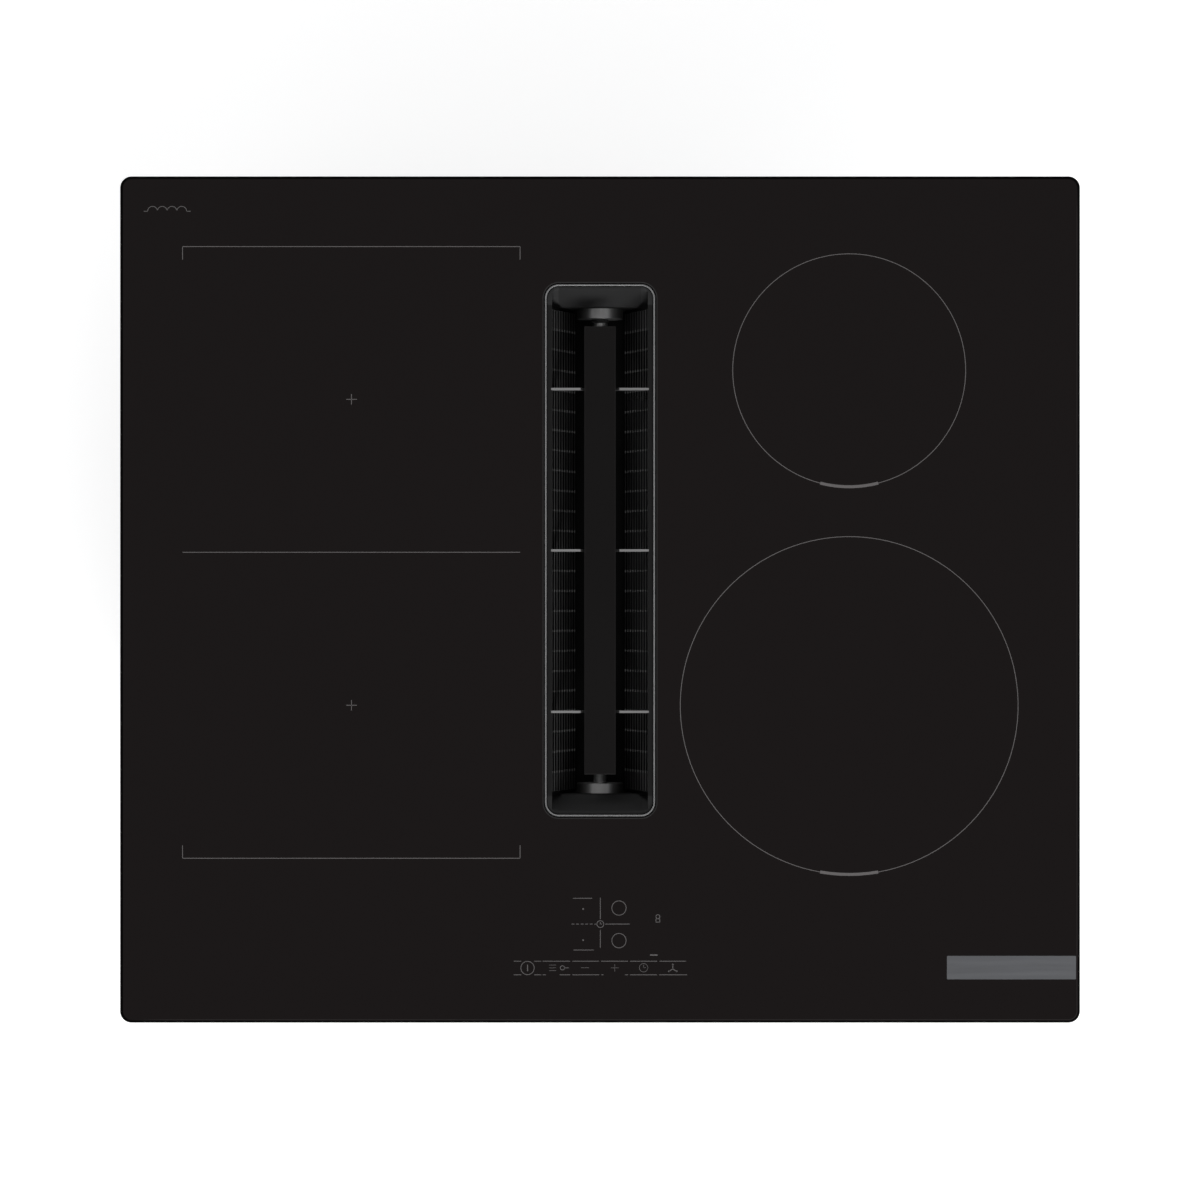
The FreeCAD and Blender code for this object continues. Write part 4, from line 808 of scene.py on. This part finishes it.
# Painted shadow beyond the slats' ends, and painted light and shade along them from foot to head.
painted_shadow_start = (trough_high.y - trough_low.y) / 2 - 2.0 * mm
foot_painted_shade, head_painted_light, dot_grey = 0.02, 0.26, 0.55


def crossed_slats():
    """Dull steel slats with painted light: lighter towards the glass and painted shade towards their feet,
    painted shadow beyond their ends, and a brighter dot wherever one crosses a rib; the ribs behind are
    painted near black for the shade they stand in."""
    material, tree, shader, place = new_finish("mesh_steel", 0.4, metallic=0.8)
    marks = put_effect(tree, lines, place, Stretch=lengthwise, Scale=line_scale)
    at = axes(tree, place)
    bands = tree.nodes.new("ShaderNodeTexWave")
    bands.bands_direction = "Y"
    bands.inputs["Scale"].default_value = math.pi / (10 * rib_pitch)
    bands.inputs["Phase Offset"].default_value = math.pi - 2 * math.pi * vent_middle / rib_pitch
    join(tree, place, bands.inputs["Vector"])
    crossing = ranged(tree, bands.outputs["Fac"], 0.925, 0.99, 0.0, dot_grey)
    from_middle = arithmetic(tree, "ABSOLUTE", arithmetic(tree, "SUBTRACT", at["Y"], vent_middle))
    dot = arithmetic(tree, "MULTIPLY", crossing, arithmetic(tree, "LESS_THAN", from_middle, mesh_half_length))
    aside = arithmetic(tree, "ABSOLUTE", at["X"])
    # Painted light and shade: the slats lighter towards the glass, darker towards their feet, and dark beyond
    # their ends as painted shadow.
    grey = ranged(tree, aside, mesh_foot.x, mesh_head.x, foot_painted_shade, head_painted_light)
    grey = arithmetic(tree, "MULTIPLY_ADD", marks.outputs["Shade"], 0.1, grey)
    grey = arithmetic(tree, "MULTIPLY", grey, arithmetic(tree, "LESS_THAN", from_middle, painted_shadow_start))
    along = (mesh_foot - mesh_head).normalized()
    outward = vectorial(tree, "DOT_PRODUCT", vectorial(tree, "ABSOLUTE", place), (-along.y, 0, -along.x))
    face_level = -along.y * mesh_head.x + along.x * mesh_head.y
    # Behind the slat faces, the ribs take the near-black colour: painted shade.
    on_slat = arithmetic(tree, "LESS_THAN", outward, face_level + 0.9 * slat_depth)
    shade = arithmetic(tree, "MULTIPLY", arithmetic(tree, "MAXIMUM", grey, dot), on_slat)
    two_tone(tree, shade, (0.004, 0.004, 0.004), (0.9, 0.9, 0.9), shader.inputs["Base Color"])
    relief(tree, marks.outputs["Height"], 0.000008, shader)
    return material


dress(crossed_slats(), "filter_mesh_left", "filter_mesh_right")


# The glass ceramic top, black all through and polished, with the faintest cloud of wiping
# marks, on a strip of black foam, and the steel collar in its silicone joint.
hair_half_width = 0.3 * mm
glass_corner, glass_arris = 7.0 * mm, 1.7 * mm
opening_corner, opening_arris = 9.3 * mm, -0.5 * mm


def rim_line():
    """A hair line inset from a rounded outline, the part of it that faces right or front, and
    the band outside it."""
    tree, given, result = effect(
        "rim_line",
        [
            ("Place", "NodeSocketVector", None), ("Half", "NodeSocketVector", (0.1, 0.1, 0.0)),
            ("Corner", "NodeSocketFloat", 0.005), ("Inset", "NodeSocketFloat", 0.002),
        ],
        ["Line", "Lit line", "Band"],
    )
    place, half, corner, inset = (given.outputs[label] for label in ("Place", "Half", "Corner", "Inset"))
    flat = vectorial(tree, "MULTIPLY", place, (1, 1, 0))
    beyond = vectorial(tree, "SUBTRACT", vectorial(tree, "ABSOLUTE", flat), half)
    outer = vectorial(tree, "LENGTH", vectorial(tree, "MAXIMUM", beyond, (0, 0, 0)))
    past = axes(tree, beyond)
    inner = arithmetic(tree, "MINIMUM", arithmetic(tree, "MAXIMUM", past["X"], past["Y"]), 0.0)
    inside = arithmetic(tree, "SUBTRACT", corner, arithmetic(tree, "ADD", outer, inner))
    hair = arithmetic(tree, "COMPARE", inside, inset, hair_half_width)
    facing = vectorial(tree, "DOT_PRODUCT", vectorial(tree, "DIVIDE", place, half), (1, -1, 0))
    lit = arithmetic(tree, "MULTIPLY", hair, ranged(tree, facing, 0.0, 0.1, 0.0, 1.0))
    join(tree, hair, result.inputs["Line"])
    join(tree, lit, result.inputs["Lit line"])
    join(tree, arithmetic(tree, "LESS_THAN", inside, inset), result.inputs["Band"])
    return tree


glass_low, glass_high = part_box("glass_top")
black_glass, tree, shader, place = new_finish("black_glass_ceramic", 0.06)
wiping = put_effect(tree, grain, place, Scale=60.0)
outline = rim_line()
half = (glass_high - glass_low) / 2
glass_edge_painted_light = put_effect(
    tree, outline, place, Half=(half.x - glass_corner, half.y - glass_corner, 0.0), Corner=glass_corner,
    Inset=glass_arris,
)
half = (vent_high - vent_low) / 2
from_vent = vectorial(tree, "SUBTRACT", place, (vent_low + vent_high) / 2)
opening_painted_highlight = put_effect(
    tree, outline, from_vent, Half=(half.x - opening_corner, half.y - opening_corner, 0.0),
    Corner=opening_corner, Inset=opening_arris,
)
# Painted light on the glass: the facet band round its edge painted darker for its darker reflection, a
# painted highlight along the facet's ridge on the right and front, and a painted highlight along the edge of
# the cut-out round the vent.
tone = mixed(tree, wiping.outputs["Shade"], (0.0036, 0.0014, 0.0014), (0.0046, 0.0023, 0.0023))
tone = mixed(tree, glass_edge_painted_light.outputs["Band"], tone, (0.0012, 0.0011, 0.0011))
tone = mixed(tree, glass_edge_painted_light.outputs["Lit line"], tone, (0.024, 0.021, 0.021))
tone = mixed(tree, opening_painted_highlight.outputs["Line"], tone, (0.028, 0.027, 0.027))
join(tree, tone, shader.inputs["Base Color"])
spread(tree, wiping.outputs["Shade"], 0.05, 0.1, shader.inputs["Roughness"])
dress(black_glass, "glass_top")

foam = moulded("black_foam", (0.012, 0.012, 0.012), (0.025, 0.025, 0.025), 0.9, 400.0, 0.0002, 0.1)
dress(foam, "edge_foam_strip")
joint_silicone = moulded(
    "joint_silicone", (0.003, 0.003, 0.003), (0.006, 0.006, 0.006), 0.6, 600.0, 0.00001, 0.15
)
dress(joint_silicone, "vent_silicone_joint")
collar_steel = lined_metal(
    "collar_steel", (0.4, 0.4, 0.4), (0.54, 0.54, 0.54), 0.25, (1.0, 0.1, 1.0), 0.000006
)
dress(collar_steel, "vent_collar")


# The zone marks, screen printed on the glass in grey ceramic ink and fired: two corner
# brackets and a middle line on the left, a ring with a thicker arc at each right zone.
print_level = glass_surface + 0.04 * mm
ink_film = 0.05 * mm
fine_line = 0.42 * mm


def ink_line(ink, x0, y0, x1, y1, width=fine_line):
    """A straight printed line between two points, in millimetres."""
    start = Vector((x0, y0, 0)) * mm
    end = Vector((x1, y1, 0)) * mm
    run = end - start
    turn = Matrix.Rotation(math.atan2(run.y, run.x), 4, "Z")
    size = Matrix.Diagonal((run.length, width, 1, 1))
    middle = (start + end) / 2
    place = Matrix.Translation((middle.x, middle.y, print_level))
    bmesh.ops.create_grid(ink, x_segments=1, y_segments=1, size=0.5, matrix=place @ turn @ size)


def ink_arc(ink, x, y, radius, start=0.0, sweep=360.0, width=fine_line):
    """A printed arc about a point, in millimetres and degrees: a short stroke spun round."""
    first = Matrix.Rotation(math.radians(start), 3, "Z")
    centre = Vector((x, y, 0)) * mm + Vector((0, 0, print_level))
    ends = [first @ Vector((radius * mm + side * width / 2, 0, 0)) + centre for side in (-1, 1)]
    stroke = [ink.verts.new(end) for end in ends]
    edge = ink.edges.new(stroke)
    bmesh.ops.spin(
        ink, geom=stroke + [edge], cent=centre, axis=(0, 0, 1), angle=math.radians(sweep),
        steps=max(6, int(abs(sweep) / 3)), use_merge=sweep >= 360, use_duplicate=False,
    )


def ink_dot(ink, x, y, radius):
    """A printed dot."""
    bmesh.ops.create_circle(
        ink, cap_ends=True, segments=24, radius=radius * mm,
        matrix=Matrix.Translation((x * mm, y * mm, print_level)),
    )


def fired_ink(name, low, high):
    """Grey ceramic ink with a slight mottle."""
    return moulded(name, low, high, 0.4, 1500.0, 0.00001, 0.3)


def printed(name, ink, material):
    """Finishes a print: faces up, a film of ink thick, on the glass and moving with it."""
    for face in ink.faces:
        face.normal_update()
        if face.normal.z < 0:
            face.normal_flip()
    bmesh.ops.solidify(ink, geom=ink.faces[:], thickness=ink_film)
    placed(name, ink, material, "cooktop")


zone_ink = fired_ink("zone_ink", (0.14, 0.132, 0.132), (0.185, 0.175, 0.175))
marks_ink = bmesh.new()
left, right, left_middle = -257.5, -49.3, -153.3
bracket_rear, bracket_middle, bracket_front, bracket_arm = 217.7, 29.15, -159.6, 8.0
cross_left, cross_right, cross_reach = -156.5, -150.0, 3.2
for level, inward in ((bracket_rear, -1), (bracket_front, 1)):
    ink_line(marks_ink, left, level, right, level)
    for end in (left, right):
        ink_line(marks_ink, end, level, end, level + inward * bracket_arm)
ink_line(marks_ink, left, bracket_middle, right, bracket_middle)
for level in (123.5, -65.2):
    ink_line(marks_ink, cross_left, level, cross_right, level)
    ink_line(marks_ink, left_middle, level - cross_reach, left_middle, level + cross_reach)
ring_x, thick_arc_reach, thick_line = 153.7, 17.9, 1.8 * mm
for level, radius in ((141.4, 71.85), (-65.4, 104.2)):
    half = math.degrees(math.asin(thick_arc_reach / radius))
    ink_arc(marks_ink, ring_x, level, radius, 270 + half, 360 - 2 * half)
    ink_arc(marks_ink, ring_x, level, radius, 270 - half, 2 * half, thick_line)
printed("zone_marks", marks_ink, zone_ink)


# The control marks, printed in the same ink: a small map of the zones, the strip of keys
# with its frame lines, and plain signs on the keys.
control_ink = fired_ink("control_ink", (0.12, 0.114, 0.114), (0.165, 0.157, 0.157))
control = bmesh.new()

map_x, map_y, map_ring_x = 0.2, -200.2, 11.7
for x0, x1, y in ((-16.7, -4.8, -184.3), (-16.3, -3.8, -216.2)):
    ink_line(control, x0, y, x1, y)
for y in (-190.9, -210.1):
    ink_dot(control, -10.4, y, 0.55)
first_dash, dash_length, dash_pitch = -17.5, 1.7, 2.8
for dash in range(6):
    start = first_dash + dash * dash_pitch
    ink_line(control, start, map_y, start + dash_length, map_y)
ink_line(control, map_x, -184.0, map_x, -197.2)
ink_line(control, map_x, -203.8, map_x, -214.8)
ink_line(control, 3.3, map_y, 18.3, map_y)
ink_arc(control, map_x, map_y, 2.1)
ink_line(control, map_x, map_y, map_x, map_y + 1.3)
ink_line(control, map_x, map_y, map_x + 1.0, map_y)
for y in (-190.3, -210.4):
    ink_arc(control, map_ring_x, y, 4.4)

strip_rear, strip_front = -223.1, -231.5
for x0, x1 in (
    (-53.2, -48.6), (-40.6, -36.3), (-35.4, -18.4), (-17.0, -0.6), (0.7, 17.3), (18.5, 35.3), (36.7, 53.1),
):
    ink_line(control, x0, strip_rear, x1, strip_rear)
for x0, x1 in (
    (-53.2, -48.6), (-40.6, -36.3), (-35.4, -33.3), (-24.9, -18.4), (-17.0, -0.5), (0.8, 2.2),
    (15.4, 17.3), (18.5, 35.3), (36.5, 53.7),
):
    ink_line(control, x0, strip_front, x1, strip_front)

sign_line = 0.26 * mm
power_x, power_y = -44.7, -227.3
ink_arc(control, power_x, power_y, 4.1)
ink_line(control, power_x, power_y + 2.0, power_x, power_y - 2.0, 0.6 * mm)
for y in (-225.5, -227.2, -228.9):
    ink_line(control, -31.3, y, -27.1, y, sign_line)
bow_x, bow_y, bow_radius = -23.2, -227.2, 1.3
ink_arc(control, bow_x, bow_y, bow_radius)
ink_line(control, bow_x + bow_radius, bow_y, bow_x + 4.0, bow_y)
ink_line(control, -11.8, -227.1, -6.8, -227.1, sign_line)
plus_x, plus_y, plus_reach = 9.1, -227.2, 2.3
ink_line(control, plus_x - plus_reach, plus_y, plus_x + plus_reach, plus_y, sign_line)
ink_line(control, plus_x, plus_y + plus_reach, plus_x, plus_y - plus_reach, sign_line)
clock_x, clock_y = 26.9, -227.1
ink_arc(control, clock_x, clock_y, 2.6, width=sign_line)
ink_line(control, clock_x, clock_y, clock_x, clock_y + 1.8, sign_line)
ink_line(control, clock_x, clock_y, clock_x + 1.4, clock_y, sign_line)
fan_x, fan_y, fan_reach = 44.9, -227.9, 2.7
for blade in range(3):
    turn = math.radians(90 + 120 * blade)
    tip_x, tip_y = fan_x + fan_reach * math.cos(turn), fan_y + fan_reach * math.sin(turn)
    ink_line(control, fan_x, fan_y, tip_x, tip_y, 0.5 * mm)
    ink_dot(control, tip_x, tip_y, 0.55)

padlock_low, padlock_high = -199.0, -197.0
ink_arc(control, 35.7, -195.6, 1.2)
for y in (padlock_low, padlock_high):
    ink_line(control, 34.3, y, 37.1, y)
for x in (34.5, 36.9):
    ink_line(control, x, padlock_high, x, padlock_low)
ink_line(control, 30.9, -219.3, 35.5, -219.3, 0.8 * mm)
printed("control_marks", control, control_ink)


# A small sign for an induction coil at the rear left corner, four loops in a row with a
# short lead at each end, printed in the same ink.
sign_y, sign_left, sign_right = 239.5, -281.5, -252.5
first_loop, last_loop, loop_radius = -276.0, -258.0, 3.0
coil_sign = bmesh.new()
for loop in range(4):
    ink_arc(coil_sign, first_loop + loop * 2 * loop_radius, sign_y, loop_radius, 0, 180)
ink_line(coil_sign, sign_left, sign_y, first_loop - loop_radius, sign_y)
ink_line(coil_sign, last_loop + loop_radius, sign_y, sign_right, sign_y)
printed("coil_sign", coil_sign, control_ink)


# The plate at the front right corner: thin aluminium foil, satin anodised, left bare, glued
# flat on the glass.
plate_left, plate_right, plate_front, plate_rear = 214.0, 293.6, -234.3, -219.8
plate_low, plate_high, plate_corner = 5.0, 5.22, 0.5
plate = bmesh.new()
slab(plate, (plate_left, plate_front, plate_low), (plate_right, plate_rear, plate_high))
uprights = [edge for edge in plate.edges if abs(edge.verts[0].co.z - edge.verts[1].co.z) > 0.1 * mm]
bmesh.ops.bevel(
    plate, geom=uprights, offset=plate_corner * mm, segments=3, profile=0.5, affect="EDGES", material=-1
)
satin_foil = lined_metal(
    "satin_foil", (0.205, 0.21, 0.223), (0.258, 0.265, 0.28), 0.42, (0.03, 1.0, 1.0), 0.000004, 0.8
)
placed("bare_plate", plate, satin_foil, "cooktop")
